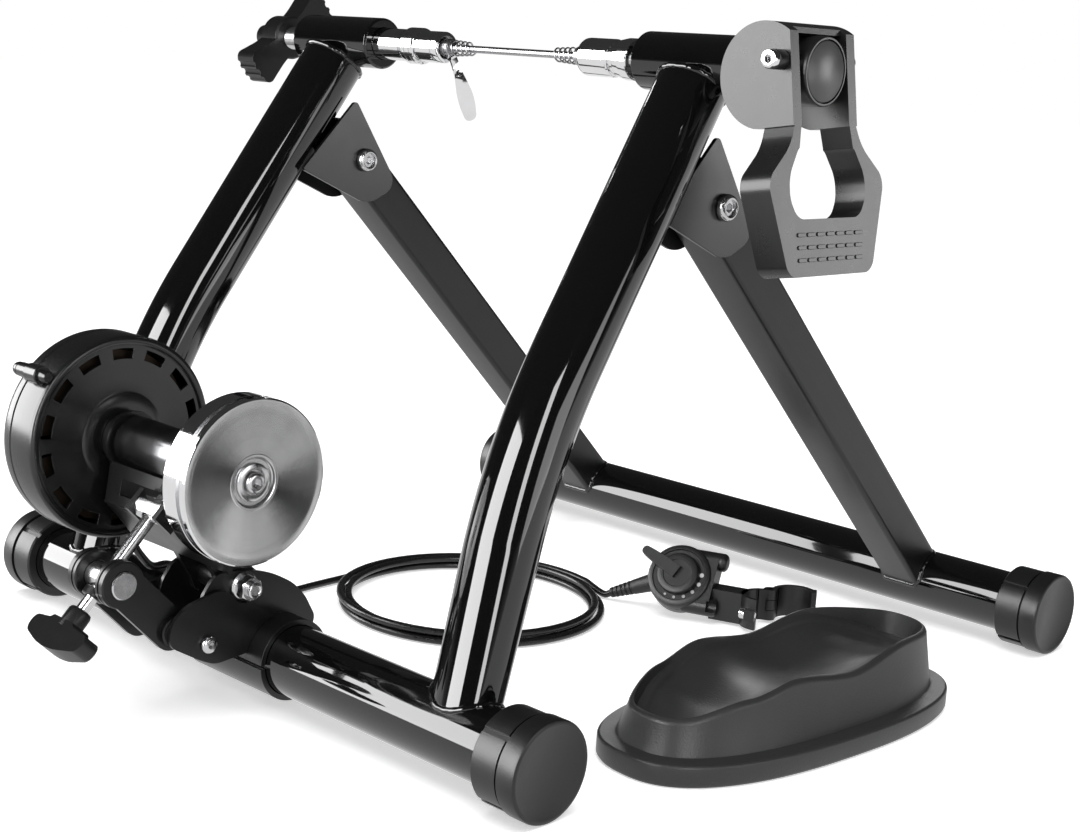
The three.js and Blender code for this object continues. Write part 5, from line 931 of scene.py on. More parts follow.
def addFoldingLeg(label, side):
    middle = side * mainLeg["topSide"]
    length = (frontTube - hingePoint).length
    half, corner, wall = hinge["legWidth"] / 2, hinge["legCorner"], hinge["legWall"]
    place = (middle, hingePoint.y, hingePoint.z)
    leg = moved(squareBar(half, corner, -hinge["overhang"], length), place, [(foldTilt, "X")])
    inside = moved(squareBar(half - wall, corner - wall / 2, -hinge["overhang"] - 1, length + 1),
                   place, [(foldTilt, "X")])
    seat = bar(stand["tubeRadius"] + hinge["seatGap"], middle - 40, middle + 40, 96)
    leg = carved(leg, [inside, moved(seat, (0, *frontTube.yz))])
    reach = hinge["inset"] - gap
    bush = fused(leg, moved(bar(hinge["bushRadius"], -reach, reach), place))
    leg = carved(bush, [moved(bar(hinge["boltRadius"] + gap, -40, 40), place)])
    addPiece(f"foldingLeg{label}", leg, "satinPaint", "folding_frame", bevel=0.25)
    outline, step = [], 14
    for quarter in range(4):
        spin = Matrix.Rotation(quarter * math.pi / 2, 2)
        for i in range(step):
            edge = Vector((-half + corner + (2 * half - 2 * corner) * i / (step - 1), -half))
            outline.append(tuple(spin @ edge))
    start = Vector((middle, *frontTube.yz)) - foldWay * mainLeg["weldReach"]
    line = meetingLine(start, foldWay, outline, frontTube, stand["tubeRadius"])
    weldBead(f"foldingWeld{label}", line, "folding_frame", seed=7.0 + side)


for label, side in sides:
    addHinge(label, side)
    addFoldingLeg(label, side)
print("hinges: brackets, bolts, folding legs")


def onAxle(bm, turns=()):
    return moved(bm, axle, turns)


# Axle cups: the left one, and the right one with its long shaft
cups = {
    "leftFace": -56, "leftHole": 6.4, "rightFace": 70, "rightHole": 6.4, "holeDepth": 15,
    "shaftEnd": 185,
}


def addLeftCup():
    face, hole = cups["leftFace"], cups["leftHole"]
    shape = turned([
        (-122.5, 0), (-122.5, 9.9), (-121.9, 10.5), (-93.4, 10.5), (-93.2, 9.7), (-91.2, 9.7),
        (-91, 10.6), (-90, 11.7), (-89.4, 11.9), (-86.2, 11.9), (-86, 11.3), (-85.2, 11.3),
        (-85, 11.9), (-81.4, 11.9), (-81.2, 11.3), (-80.4, 11.3), (-80.2, 11.9), (-79, 11.9),
        (-78, 11.3), (-77.4, 10.3), (-77.2, 9.6), (-76, 9.6), (-75.8, 10.2), (-62.4, 10.2),
        (-62.2, 9.7), (-61.4, 9.7), (-61.2, 10.2), (face - 1.4, 10.2), (face - 0.4, 9.8),
        (face, 9), (face, hole + 1), (face - 1.4, hole - 0.1),
        (face - cups["holeDepth"], hole), (face - cups["holeDepth"], 0)], 96)
    addPiece("leftCup", onAxle(shape), "polishedChrome", "left_cup_body", sharp=30)


def addRightCup():
    face, hole, depth, end = (cups[key] for key in (
        "rightFace", "rightHole", "holeDepth", "shaftEnd"))
    nose = turned(beyond(
        face, (depth, 0), (depth, hole), (1.4, hole), (0, hole + 1), (0, 9.4), (0.5, 10.6),
        (1.6, 11.2), (3, 11.4), (23.6, 11.4), (24.8, 10.8), (25.2, 9.8), (28.4, 9.8),
        (28.6, 10.6), (29.4, 11.3), (33.8, 12.2), (35, 12.4), (40.4, 12.4), (41.2, 11.6),
        (41.2, 7.8)) + [(end - 0.8, 7.8), (end, 7), (end, 0)], 96)
    addPiece("rightCup", onAxle(nose), "polishedChrome", "right_cup_body", bevel=0.18, sharp=24)


# The quick-release skewer through the wheel's axle
skewer = {
    "rodRadius": 2.3, "headFace": -61, "headLength": 11, "headRadius": 5.9, "nutFace": 73.5,
    "nutLength": 11, "flatBelow": 2.6, "leverAngle": 26, "leverPlace": (-53, 2.32, 379.24),
    "leverLength": 47, "leverHalf": 6, "neckHalf": 3, "leverTwist": -34, "camRadius": 2.4,
    "coilWide": 5, "coilNarrow": 3.9, "coilLength": 17, "coilSeat": 1.7, "wire": 0.55,
    "coils": 4, "coilSteps": 24, "leverHalfThick": 0.75, "leverBow": 1.1,
}


def addSkewer():
    face, length, rod = skewer["headFace"], skewer["headLength"], skewer["rodRadius"]
    inner = skewer["nutFace"] - skewer["nutLength"]
    shape = turned(beyond(
        face, (0, 0), (0, 5.2), (0.7, 5.9), (7.6, 5.9), (7.8, 5.3), (8.6, 5.3), (8.8, 5.9),
        (10.2, 5.9), (length, 5.1), (length, 3.4)) + [
        (face + length + 0.8, rod), (inner - 0.2, rod), (inner - 0.2, 0)], 64)
    flat = box((length, 20, skewer["headRadius"]), (
        face + 5.3 + length / 2, 0, -skewer["flatBelow"] - skewer["headRadius"] / 2))
    addPiece("skewerRod", onAxle(carved(shape, [flat]), [(skewer["leverAngle"], "X")]),
             "springSteel", "left_cup_body", bevel=0.12)
    nut = turned(beyond(inner, (0, 0), (0, 5.1), (0.7, 5.8), (9, 5.8), (9.2, 5.2), (10, 5.2),
                        (10.2, 5.9), (10.6, 5.9), (11, 5.4), (11, 0)), 64)
    addPiece("skewerNut", onAxle(nut), "springSteel", "left_cup_body", bevel=0.12)


# A leaf blade that hangs from its cam and curls away towards its tip
def addSkewerLever():
    half, neck, length = skewer["leverHalf"], skewer["neckHalf"], skewer["leverLength"]
    blade = plate([(-neck, 2, 1.5), (-neck * 0.8, -10, 12), (-half, -length * 0.66, 14),
                   (-half * 0.62, -length + 0.6, 3.4), (half * 0.62, -length + 0.6, 3.4),
                   (half, -length * 0.66, 14), (neck * 0.8, -10, 12), (neck, 2, 1.5)],
                  -skewer["leverHalfThick"], skewer["leverHalfThick"], 12)
    bmesh.ops.triangulate(blade, faces=blade.faces)
    for _ in range(3):
        bmesh.ops.subdivide_edges(blade, cuts=1, use_grid_fill=True, edges=[
            edge for edge in blade.edges if edge.calc_length() > 4])
    for vert in blade.verts:
        along = max(-vert.co.z / length, 0)
        twist = math.radians(skewer["leverTwist"]) * min(along * 2.4, 1)
        x, y = vert.co.x, vert.co.y
        bow = skewer["leverBow"] * math.sin(along * math.pi)
        vert.co.x = x * math.cos(twist) - y * math.sin(twist) + bow
        vert.co.y = x * math.sin(twist) + y * math.cos(twist)
    cam = aboutZ(bar(skewer["camRadius"], -3.4, 3.4, 40))
    lever = moved(joined(blade, cam), skewer["leverPlace"], [(skewer["leverAngle"], "X")])
    addPiece("skewerLever", lever, "polishedChrome", "skewer_cam", bevel=0.2, sharp=50)


def addConicalSpring(label, start, wide, narrow):
    steps = skewer["coils"] * skewer["coilSteps"]
    points = []
    for i in range(steps + 1):
        share = i / steps
        angle, radius = fullTurn * share * skewer["coils"], wide + (narrow - wide) * share
        points.append(axle + Vector((start + skewer["coilLength"] * share,
                                     radius * math.cos(angle), radius * math.sin(angle))))
    addPiece(f"spring{label}", tubeAlong(points, skewer["wire"], rings=4), "springSteel",
             "left_cup_body", sharp=60)


knob = {
    "screwRadius": 8, "innerFace": 218, "thickness": 18, "hubLength": 16, "coreRadius": 15,
    "reach": 39, "tipHalf": 13.5, "neckHalf": 8.5, "angle": 40, "gripRadius": 2.6, "grips": 3,
    "threadPitch": 1.6, "threadDepth": 0.6, "threadEnd": -196, "screwEnd": -122.8,
}


def addKnob():
    inner, outer = -knob["innerFace"], -knob["innerFace"] - knob["thickness"]
    reach, tip, neck, core = (knob[key] for key in ("reach", "tipHalf", "neckHalf", "coreRadius"))
    wings = []
    for turn in (0, 180):
        wing = plate([(0, -neck), (core, -neck, 6), (reach - 4, -tip, 4),
                      (reach, -tip * 0.55, 5), (reach, tip * 0.55, 5), (reach - 4, tip, 4),
                      (core, neck, 6), (0, neck)], outer, inner, 8)
        grips = [moved(bar(knob["gripRadius"], outer - overrun, inner + overrun, 28), (
            0, reach + 1, (i - (knob["grips"] - 1) / 2) * 2 * tip / (knob["grips"] + 1)))
            for i in range(knob["grips"])]
        wings.append(moved(carved(wing, grips), turns=[(turn, "X")]))
    body = turned([(outer, 0), (outer, core - 1.2), (outer + 1.2, core), (inner - 1.2, core),
                   (inner, core - 1.2), (inner, 0)], 72)
    hub = turned([(outer - knob["hubLength"], 0), (outer - knob["hubLength"], 6.4),
                  (outer - knob["hubLength"] + 1.4, 8), (outer - 2.4, 8.6), (outer + 2, 9.8),
                  (outer + 2, 0)], 64)
    whole = carved(fused(body, *wings, hub), [bar(knob["screwRadius"] - 0.2, inner - 3, 0)])
    addPiece("knobWings", onAxle(whole, [(knob["angle"], "X")]), "knobPlastic", "knob_body",
             nodes=["left_knob"], bevel=1.0, sharp=32)
    thread, radius, place = [], knob["screwRadius"], inner - 2
    while place < knob["threadEnd"]:
        thread += [(place, radius), (place + knob["threadPitch"] / 2,
                                     radius - knob["threadDepth"])]
        place += knob["threadPitch"]
    end = knob["screwEnd"]
    rod = turned([(inner - 2, 0), *thread, (place, radius), (end - 0.6, radius), (end, 7.4),
                  (end, 0)], 64)
    addPiece("knobScrew", onAxle(rod), "zincPlate", "knob_body", sharp=24)


addLeftCup()
addRightCup()
addSkewer()
addSkewerLever()
addConicalSpring("Left", skewer["headFace"] + skewer["headLength"] + skewer["coilSeat"],
                 skewer["coilWide"], skewer["coilNarrow"])
addConicalSpring("Right", skewer["nutFace"] - skewer["nutLength"] - skewer["coilLength"]
                 - skewer["coilSeat"], skewer["coilNarrow"], skewer["coilWide"])
addKnob()
print("axle: cups, skewer, knob")

# The quick-release lever over the right barrel, drawn about its pin
release = {
    "pin": (238, 0, 389), "tilt": 9, "earInner": 22, "earOuter": 29.5, "earBack": 13,
    "earDrop": 7, "earRadius": 29, "front": 6, "depth": 20, "hoodBack": 7, "neckDrop": 35,
    "joinDrop": 33, "pinRadius": 4, "headLength": 12, "hubRadius": 13.6, "hubGap": 1,
    "hoodReach": 9, "slotDrop": 13.6, "hoodSetBack": 3.6, "loopStep": 1.8,
    # The right halves of the loop and of its hole: across, up from the pin and rounding
    "loopCorners": [(33, -46, 7), (54, -64, 7), (39, -116, 7)],
    "holeCorners": [(25, -46, 3.5), (35, -62, 7), (35, -74, 3.5), (29, -85, 7)],
    "ribRows": 3, "ribDashes": 7, "ribLength": 62, "ribWidth": 2.3, "ribHeight": 0.7,
    "ribPitch": 6.8, "ribUp": -107, "ribShare": 0.42, "ribRound": 1.1,
    "plungerRadius": 19, "plungerStart": 197.3, "plungerEnd": 244,
}


# A wall drawn in X and Z, from one Y to another
def wallOf(corners, start, end):
    bm = bmesh.new()
    bm.faces.new([bm.verts.new((along, start, up)) for along, up in corners])
    return extruded(bm, (0, end - start, 0))


def arcPoints(radius, start, end, centre=(0, 0), steps=64):
    angles = [math.radians(start + (end - start) * i / steps) for i in range(steps + 1)]
    return [(centre[0] + radius * math.cos(angle), centre[1] + radius * math.sin(angle))
            for angle in angles]


def onPin(bm):
    return moved(bm, release["pin"], [(-release["tilt"], "Y")])


def earCorners():
    radius, back, drop = release["earRadius"], release["earBack"], release["earDrop"]
    front, neck = release["front"], release["neckDrop"]
    top = math.degrees(math.acos((front + back) / radius))
    bottom = 180 + math.degrees(math.asin((neck - drop) / radius))
    return arcPoints(radius, top, bottom, (-back, -drop)) + [
        (front - release["depth"], -neck), (front, -neck)]


def mirrored(corners):
    return [(-corner[0], *corner[1:]) for corner in reversed(corners)]


def addReleaseLever():
    inner, outer, front, join = (release[key] for key in (
        "earInner", "earOuter", "front", "joinDrop"))
    back, hoodFront = front - release["depth"], front - release["hoodSetBack"]
    ears = [wallOf(earCorners(), -outer, -inner), wallOf(earCorners(), inner, outer)]
    hood = carved(wallOf(earCorners(), -inner - gap, inner + gap), [
        box((hoodFront + release["hoodBack"], 2 * outer, 2 * release["neckDrop"]),
            ((hoodFront - release["hoodBack"]) / 2, 0, release["neckDrop"]))], "INTERSECT")
    hood = carved(hood, [aboutZ(bar(release["hubRadius"] + release["hubGap"], -inner, inner, 96))])
    half = [(inner, -join), (outer - release["loopStep"], -join), *release["loopCorners"]]
    inside = release["holeCorners"]
    loop = plate(half + mirrored(half), back, front, 10)
    hole = plate(inside + mirrored(inside), back - overrun, front + overrun, 8)
    side, low = inside[0][0] - 0.2, inside[0][1] - 1
    rest = plate([(-inner, 0), (inner, 0), (inner, -join), (side, low), (-side, low),
                  (-inner, -join)], back - overrun, front + overrun)
    loop = carved(loop, [hole, rest])
    whole = fused(loop, *ears, hood)
    whole = carved(whole, [aboutZ(bar(release["pinRadius"] + gap, -outer - overrun,
                                      outer + overrun, 48))])
    addPiece("releaseLever", onPin(whole), "leverPlastic", "lever_body", bevel=0.55, sharp=32)
    dashes, pitch = [], release["ribLength"] / release["ribDashes"]
    across, up = pitch * release["ribShare"], release["ribWidth"] / 2
    for row in range(release["ribRows"]):
        for i in range(release["ribDashes"]):
            dash = plate([(y, z, release["ribRound"]) for y, z in (
                (-across, -up), (across, -up), (across, up), (-across, up))],
                front - 0.4, front + release["ribHeight"], 4)
            dashes.append(moved(dash, (0, (i + 0.5) * pitch - release["ribLength"] / 2,
                                       release["ribUp"] + row * release["ribPitch"])))
    addPiece("leverRibs", onPin(joined(*dashes)), "leverPlastic", "lever_body", bevel=0.3)
    seat, length = outer + gap, release["headLength"]
    sleeve = turned(beyond(seat, (0, 4), (0, 5.2), (0.4, 5.4), (length - 4.6, 5.4),
                           (length - 4.2, 5), (length - 4.2, 4), (0, 4)), 64)
    addPiece("releasePinSleeve", onPin(aboutZ(sleeve, -90)), "knobPlastic", "lever_body")
    head = socketHead(beyond(seat + length, (-4, 0), (-4, 4.9), (-3.7, 5.2), (-1.2, 5.2),
                             (-0.3, 4.7), (0, 3.9), (0, 0)), 2.6, seat + length, 3)
    pin = joined(head, bar(release["pinRadius"], -seat - 3, seat + 2), turned(beyond(
        -seat, (-2, 0), (-2, 4.8), (-1.4, 5.4), (0, 5.4), (0, 0)), 64))
    addPiece("releasePin", onPin(aboutZ(pin, -90)), "polishedChrome", "lever_body", bevel=0.15)


def addPlunger():
    start, end, radius = (release[key] for key in ("plungerStart", "plungerEnd", "plungerRadius"))
    body = onAxle(turned([
        (start, 0), (start, radius - 1.4), (start + 1.4, radius), (end - 0.2, radius),
        (end + 1.8, radius - 0.3), (end + 2.4, radius - 0.8), (end + 2.4, radius - 1.7),
        (end, radius - 1.8), (end, 0)], 128))
    hub, between = release["hubRadius"], release["hubGap"]
    reach = hub + between + release["hoodReach"]
    low = 180 + math.degrees(math.asin(release["slotDrop"] / reach))
    slot = wallOf(arcPoints(reach, 90 - math.degrees(math.asin(between / reach)), low)
                  + arcPoints(hub, 268, 90 - math.degrees(math.asin(between / hub))), -40, 40)
    pinHole = aboutZ(bar(release["pinRadius"] + gap, -40, 40))
    tools = [moved(tool, release["pin"]) for tool in (slot, pinHole)]
    addPiece("plungerHousing", carved(body, tools), "capPlastic", bevel=0.3)
    face = end + gap
    disc = turned([(face, 0), (face, radius - 2.3), (face + 1.5, radius - 2.3),
                   (face + 2.2, radius - 3), (face + 2.2, 0)], 96)
    addPiece("plungerCap", onAxle(disc), "discPlastic", sharp=50)


addReleaseLever()
addPlunger()
print("release lever: ears, loop, pin, plunger")


remote = {
    "place": (58, 146, 0), "heading": 21, "bodyRadius": 23, "thickness": 19, "tilt": 34,
    "bevel": 2.5, "centreHeight": 24.58, "dialRadius": 16,
    "fingerLength": 31, "fingerWidth": 9, "fingerHeight": 6.5, "fingerAngle": 25,
    "knuckleRadius": 6.5, "knuckleLength": 27, "knuckleOut": 17, "knuckleUp": 17,
    "bootStart": (-52.3, 0, 5), "bootEnd": (-17.3, 0, 20), "bootWide": 6.5, "bootNarrow": 3.6,
    "bootRibs": 5, "bootFirst": 2.4, "bootPitch": 3.6, "cableEnd": (6, 0, 24),
    "neckStart": 24, "neckEnd": 45, "neckWidth": 15, "barCentre": 60.7, "barRadius": 12.3,
    "bandWall": 3.4, "bandLift": 1.6, "bandHeight": 22, "bandGap": 1.2, "bandOpen": 105,
    "pinOut": 16.9, "pinRadius": 2.2, "barrelRadius": 4.6, "lugLength": 7, "screwRadius": 2,
    "screwHead": 3.6, "tickCount": 6, "tickRing": 16.75, "tickFirst": -112, "tickTurn": 24,
}
bandLow, bandHigh = remote["bandLift"], remote["bandLift"] + remote["bandHeight"]
bandThird, bandOuter = remote["bandHeight"] / 3, remote["barRadius"] + remote["bandWall"]


def onRemote(bm):
    return moved(bm, remote["place"], [(remote["heading"], "Z")])


# From shapes on the dial's own +Z axis to the remote as it lies
def onDial(bm):
    return moved(bm, (0, 0, remote["centreHeight"]), [(90 - remote["tilt"], "X")])


def post(radius, start, end, segments=64):
    return aboutY(bar(radius, start, end, segments))


# The cable: out of the drum, along the floor, round the coil and into the remote
cable = {
    "diameter": 0.005, "radius": 2.5, "coilSide": -41, "coilAhead": 34, "outerRadius": 95.5,
    "pitch": 6.6, "startAngle": 188, "turnsIn": 1.5, "climbTurns": 0.5, "turnsOut": 1.31,
    "layerRise": 5.5, "floorGap": 0.2, "stepsPerTurn": 72, "curveSteps": 8,
}
leadPoints = [
    (-92, -204, 62), (-93, -196, 54.5), (-95, -184, 53.2), (-98, -169, 46.5),
    (-104, -152, 26), (-113, -130, 9), (-123, -92, 3.2), (-131, -45, 2.9),
]


def coilPoints():
    total = cable["turnsIn"] + cable["climbTurns"] + cable["turnsOut"]
    steps, points = round(total * cable["stepsPerTurn"]), []
    for i in range(steps + 1):
        turns = i / steps * total
        climbed = min(max((turns - cable["turnsIn"]) / cable["climbTurns"], 0), 1)
        inward = min(turns, cable["turnsIn"]) - max(
            turns - cable["turnsIn"] - cable["climbTurns"], 0)
        angle = math.radians(cable["startAngle"]) - turns * fullTurn
        radius = cable["outerRadius"] - cable["pitch"] * inward
        points.append(Vector((
            cable["coilSide"] + radius * math.cos(angle),
            cable["coilAhead"] + radius * math.sin(angle),
            cable["radius"] + cable["floorGap"] + cable["layerRise"] * climbed)))
    return points


# A smooth line through points, whose speed follows the square root of their distances
def smoothThrough(points, steps):
    result = []
    for i in range(len(points) - 1):
        second, third = points[i], points[i + 1]
        first = points[i - 1] if i else second + second - third
        fourth = points[i + 2] if i + 2 < len(points) else third + third - second
        spans = [max(math.sqrt((b - a).length), 1e-4) for a, b in (
            (first, second), (second, third), (third, fourth))]
        enter = ((second - first) / spans[0] - (third - first) / (spans[0] + spans[1])
                 + (third - second) / spans[1]) * spans[1]
        leave = ((third - second) / spans[1] - (fourth - second) / (spans[1] + spans[2])
                 + (fourth - third) / spans[2]) * spans[1]
        for step in range(steps):
            t = step / steps
            result.append(second * (2 * t ** 3 - 3 * t ** 2 + 1) + enter * (t ** 3 - 2 * t ** 2 + t)
                          + third * (3 * t ** 2 - 2 * t ** 3) + leave * (t ** 3 - t ** 2))
    return result + [points[-1]]


def addCable():
    glandTurn = math.radians(drum["glandAngle"])
    glandWay = Vector((0, math.cos(glandTurn), math.sin(glandTurn)))
    start = unitAxis + Vector(((drum["back"] + drum["seam"]) / 2, 0, 0)) \
        + glandWay * (drum["radius"] + drum["glandLength"] + gap)
    coil, run = coilPoints(), 2 * cable["radius"]
    coilIn = coil[0] + (coil[0] - coil[1]).normalized() * run
    coilOut = coil[-1] + (coil[-1] - coil[-2]).normalized() * run
    turnedBy = Matrix.Rotation(math.radians(remote["heading"]), 4, "Z")
    bootStart, bootEnd, last = (Vector(remote["place"]) + turnedBy @ Vector(remote[key])
                                for key in ("bootStart", "bootEnd", "cableEnd"))
    bootWay = (bootEnd - bootStart).normalized()
    lead = smoothThrough([start, start + glandWay * run, *map(Vector, leadPoints),
                          coilIn + (coilIn - coil[0]).normalized() * run, coilIn],
                         cable["curveSteps"])
    tail = smoothThrough([coilOut, bootStart - bootWay * run, bootStart, bootEnd, last],
                         cable["curveSteps"])
    line = [toFrame @ point for point in lead[:-1] + coil + tail]
    curve = polyCurve("remoteCable", line, cable["diameter"] / 2, 5)
    curve.materials.append(finish["cablePlastic"])
    piece = linked("remoteCable", curve)
    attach(piece, "stand")
    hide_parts("cable_lead", "cable_coil", "cable_tail")
    length = sum((b - a).length for a, b in zip(line, line[1:]))
    print(f"cable: {length:.3f} m")
    return piece, line[0], length


# The clamp's half ring; sign is -1 for the half beside the body and 1 for the band
def clampHalf(sign):
    shell = carved(post(bandOuter, bandLow, bandHigh, 96), [
        post(remote["barRadius"], bandLow - overrun, bandHigh + overrun, 96),
        box((2 * bandOuter, 4 * bandOuter, 4 * bandHigh),
            (-sign * (bandOuter - remote["bandGap"] / 2), 0, 0))])
    return moved(shell, (remote["barCentre"], 0, 0))


def barRoom():
    return moved(post(remote["barRadius"], bandLow - overrun, bandHigh + overrun, 96),
                 (remote["barCentre"], 0, 0))


def hingeBarrel(start, end, room=0):
    return onBandPin(post(remote["barrelRadius"] + room, start, end, 40))


def onBandPin(bm):
    return moved(bm, (remote["barCentre"], remote["pinOut"], 0))


def addRemoteBody():
    half, radius = remote["thickness"] / 2, remote["bodyRadius"]
    disc = aboutY(turned([
        (-half, 0), (-half, radius - 2.5), (-half + 0.8, radius - 0.8), (-half + 2.5, radius),
        (-0.5, radius), (-0.4, radius - 0.5), (0.4, radius - 0.5), (0.5, radius),
        (half - 2.5, radius), (half - 0.8, radius - 0.8), (half, radius - 2.5),
        (half, 19), (half - 0.8, 18.5), (half - 0.8, 0)], 96))
    length, edge = remote["knuckleLength"] / 2, remote["knuckleRadius"] * 0.5
    roundEnd = [(length - edge + edge * math.sin(math.radians(a)),
                 edge + edge * math.cos(math.radians(a))) for a in range(0, 91, 15)]
    profile = [(-length, 0), *[(-along, out) for along, out in reversed(roundEnd)], *roundEnd,
               (length, 0)]
    knuckles = [moved(turned(profile, 48), (remote["knuckleOut"], sign * remote["knuckleUp"], 0))
                for sign in (-1, 1)]
    shoulder = box((remote["knuckleOut"], 2 * remote["knuckleUp"],
                    remote["thickness"] - 2 * remote["bevel"]), (remote["knuckleOut"], 0, 0))
    head = onDial(fused(disc, *knuckles, shoulder, post(3, 0, half + 2, 24)))
    neckEnd = remote["neckEnd"] + remote["bandWall"]
    neck = box((neckEnd - remote["neckStart"], remote["neckWidth"], remote["bandHeight"]),
               ((remote["neckStart"] + neckEnd) / 2, 0, (bandLow + bandHigh) / 2))
    lugPlace = (remote["barCentre"] - remote["bandGap"] / 2 - remote["lugLength"] / 2,
                -bandOuter, bandLow + bandThird * 1.5)
    lug = box((remote["lugLength"], remote["bandWall"] * 2, bandThird), lugPlace)
    whole = fused(head, neck, clampHalf(-1), lug,
                  hingeBarrel(bandLow, bandLow + bandThird - gap),
                  hingeBarrel(bandHigh - bandThird + gap, bandHigh))
    whole = carved(whole, [
        barRoom(), hingeBarrel(bandLow + bandThird - gap, bandHigh - bandThird + gap, gap),
        moved(bar(remote["screwRadius"] + gap, remote["barCentre"] - 20, remote["barCentre"], 24),
              (0, -bandOuter, lugPlace[2])),
        moved(bar(remote["screwHead"] + gap, remote["neckStart"],
                  lugPlace[0] - remote["lugLength"] / 2, 32), (0, -bandOuter, lugPlace[2]))])
    whole = fused(whole, onBandPin(post(remote["pinRadius"], bandLow, bandHigh, 32)))
    addPiece("remoteBody", onRemote(whole), "remotePlastic", bevel=0.5, sharp=34)


def addRemoteDial():
    face, radius = remote["thickness"] / 2 + gap, remote["dialRadius"]
    half, length = remote["fingerWidth"] / 2, remote["fingerLength"]
    disc = aboutY(turned([
        (face - 0.9, 3.3), (face - 0.9, radius - 1), (face + 2.6, radius - 1),
        (face + 3.6, radius - 1.6), (face + 4, radius - 2.6), (face + 4, 10.4), (face + 3.5, 10),
        (face + 3.5, 0), (face + 2.2, 0), (face + 2.2, 3.3), (face - 0.9, 3.3)], 96))
    wide = 2 * half
    finger = plate([(0, -half), (0, half), (-radius, half, wide),
                    (-length, wide / 3, wide / 3), (-length, -wide / 3, wide / 3),
                    (-radius, -half, wide)], face + 1, face + remote["fingerHeight"], 10)
    finger = moved(finger, turns=[(-90, "Y"), (-90 - remote["fingerAngle"], "Z")])
    addPiece("remoteDial", onRemote(onDial(fused(disc, finger))), "remotePlastic", "dial_body",
             bevel=0.5, sharp=34)
    # Round marks of growing size beside the dial
    marks = []
    for i in range(remote["tickCount"]):
        mark = moved(post(0.9 + 0.14 * i, 0, 0.3, 20),
                     (remote["tickRing"], 0, remote["thickness"] / 2 - 0.75))
        marks.append(aboutZ(mark, remote["tickFirst"] + i * remote["tickTurn"]))
    addPiece("remoteTicks", onRemote(onDial(joined(*marks))), "paleMarks")


def addRemoteBoot():
    start, end = Vector(remote["bootStart"]), Vector(remote["bootEnd"])
    length = (end - start).length - 4.4
    narrow, wide = remote["bootNarrow"], remote["bootWide"]
    profile = [(0, 0), (0, narrow - 0.4), (0.4, narrow)]
    for i in range(remote["bootRibs"]):
        place = remote["bootFirst"] + i * remote["bootPitch"]
        here = narrow + (wide - narrow) * place / length
        profile += [(place, here), (place + 0.3, here - 0.8), (place + 1.3, here - 0.7),
                    (place + 1.6, here + 0.2)]
    boot = turned(profile + [(length, wide), (length, 0)], 48)
    boot = moved(boot, start, [(-math.degrees(math.atan2((end - start).z, (end - start).x)), "Y")])
    addPiece("remoteBoot", onRemote(boot), "softRubber", bevel=0.15)


def addRemoteBand():
    wall, middle = remote["bandWall"], (bandLow + bandHigh) / 2
    tab = box((remote["lugLength"] + 2, wall, remote["bandHeight"] - 2 * gap),
              (remote["barCentre"] + remote["bandGap"] / 2 + remote["lugLength"] / 2 + 1,
               -bandOuter + wall / 2, middle))
    low, high = bandLow + bandThird + gap / 2, bandHigh - bandThird - gap / 2
    band = carved(fused(clampHalf(1), tab, hingeBarrel(low, high)), [
        hingeBarrel(bandLow - overrun, low, gap), hingeBarrel(high, bandHigh + overrun, gap),
        onBandPin(post(remote["pinRadius"] + gap, bandLow - overrun, bandHigh + overrun, 32)),
        barRoom()])
    band = moved(band, (-remote["barCentre"], -remote["pinOut"], 0))
    band = onBandPin(aboutZ(band, remote["bandOpen"]))
    addPiece("remoteBand", onRemote(band), "remotePlastic", "band_body", bevel=0.45, sharp=34)
    end = remote["barCentre"] - remote["bandGap"] / 2
    head = end - remote["lugLength"] - gap
    screw = joined(bar(remote["screwRadius"], head - 1, end, 24), moved(
        socketHead([(0, 0), (0, 3.3), (0.3, 3.6), (3.2, 3.6), (4, 3), (4, 0)], 1.7, 4, 1.8),
        (head, 0, 0), [(180, "Z")]))
    addPiece("remoteScrew", onRemote(moved(screw, (0, -bandOuter, middle))), "zincPlate",
             bevel=0.12)


cord, cordStart, cordLength = addCable()
addRemoteBody()
addRemoteDial()
addRemoteBoot()
addRemoteBand()
print("remote: body, dial, boot, clamp")

# Riser block: a flange, a drafted wall and a trough between two waving rims
riser = {
    "place": (236, 27, 0), "heading": -4, "halfWidth": 59, "halfLength": 134,
    "flangeHeight": 13, "flangeRound": 2, "footInset": 1.5, "ledge": 11, "topHeight": 52,
    "topRound": 4, "draft": 5, "troughDepth": 15, "squareness": 2.5, "sides": 160,
    "topRings": 26,
    # Height of the rims along the block, as shares of the half length and of the top height
    "rimShares": [(-1, 0.62), (-0.62, 0.8), (-0.3, 0.93), (0.1, 0.84), (0.55, 1), (1, 0.94)],
}


def rimHeight(along):
    shares = riser["rimShares"]
    k = next((i for i in range(1, len(shares)) if shares[i][0] >= along), len(shares) - 1)
    (start, low), (end, high) = shares[k - 1], shares[k]
    t = min(max((along - start) / (end - start), 0), 1)
    return riser["topHeight"] * (low + (high - low) * t * t * (3 - 2 * t))


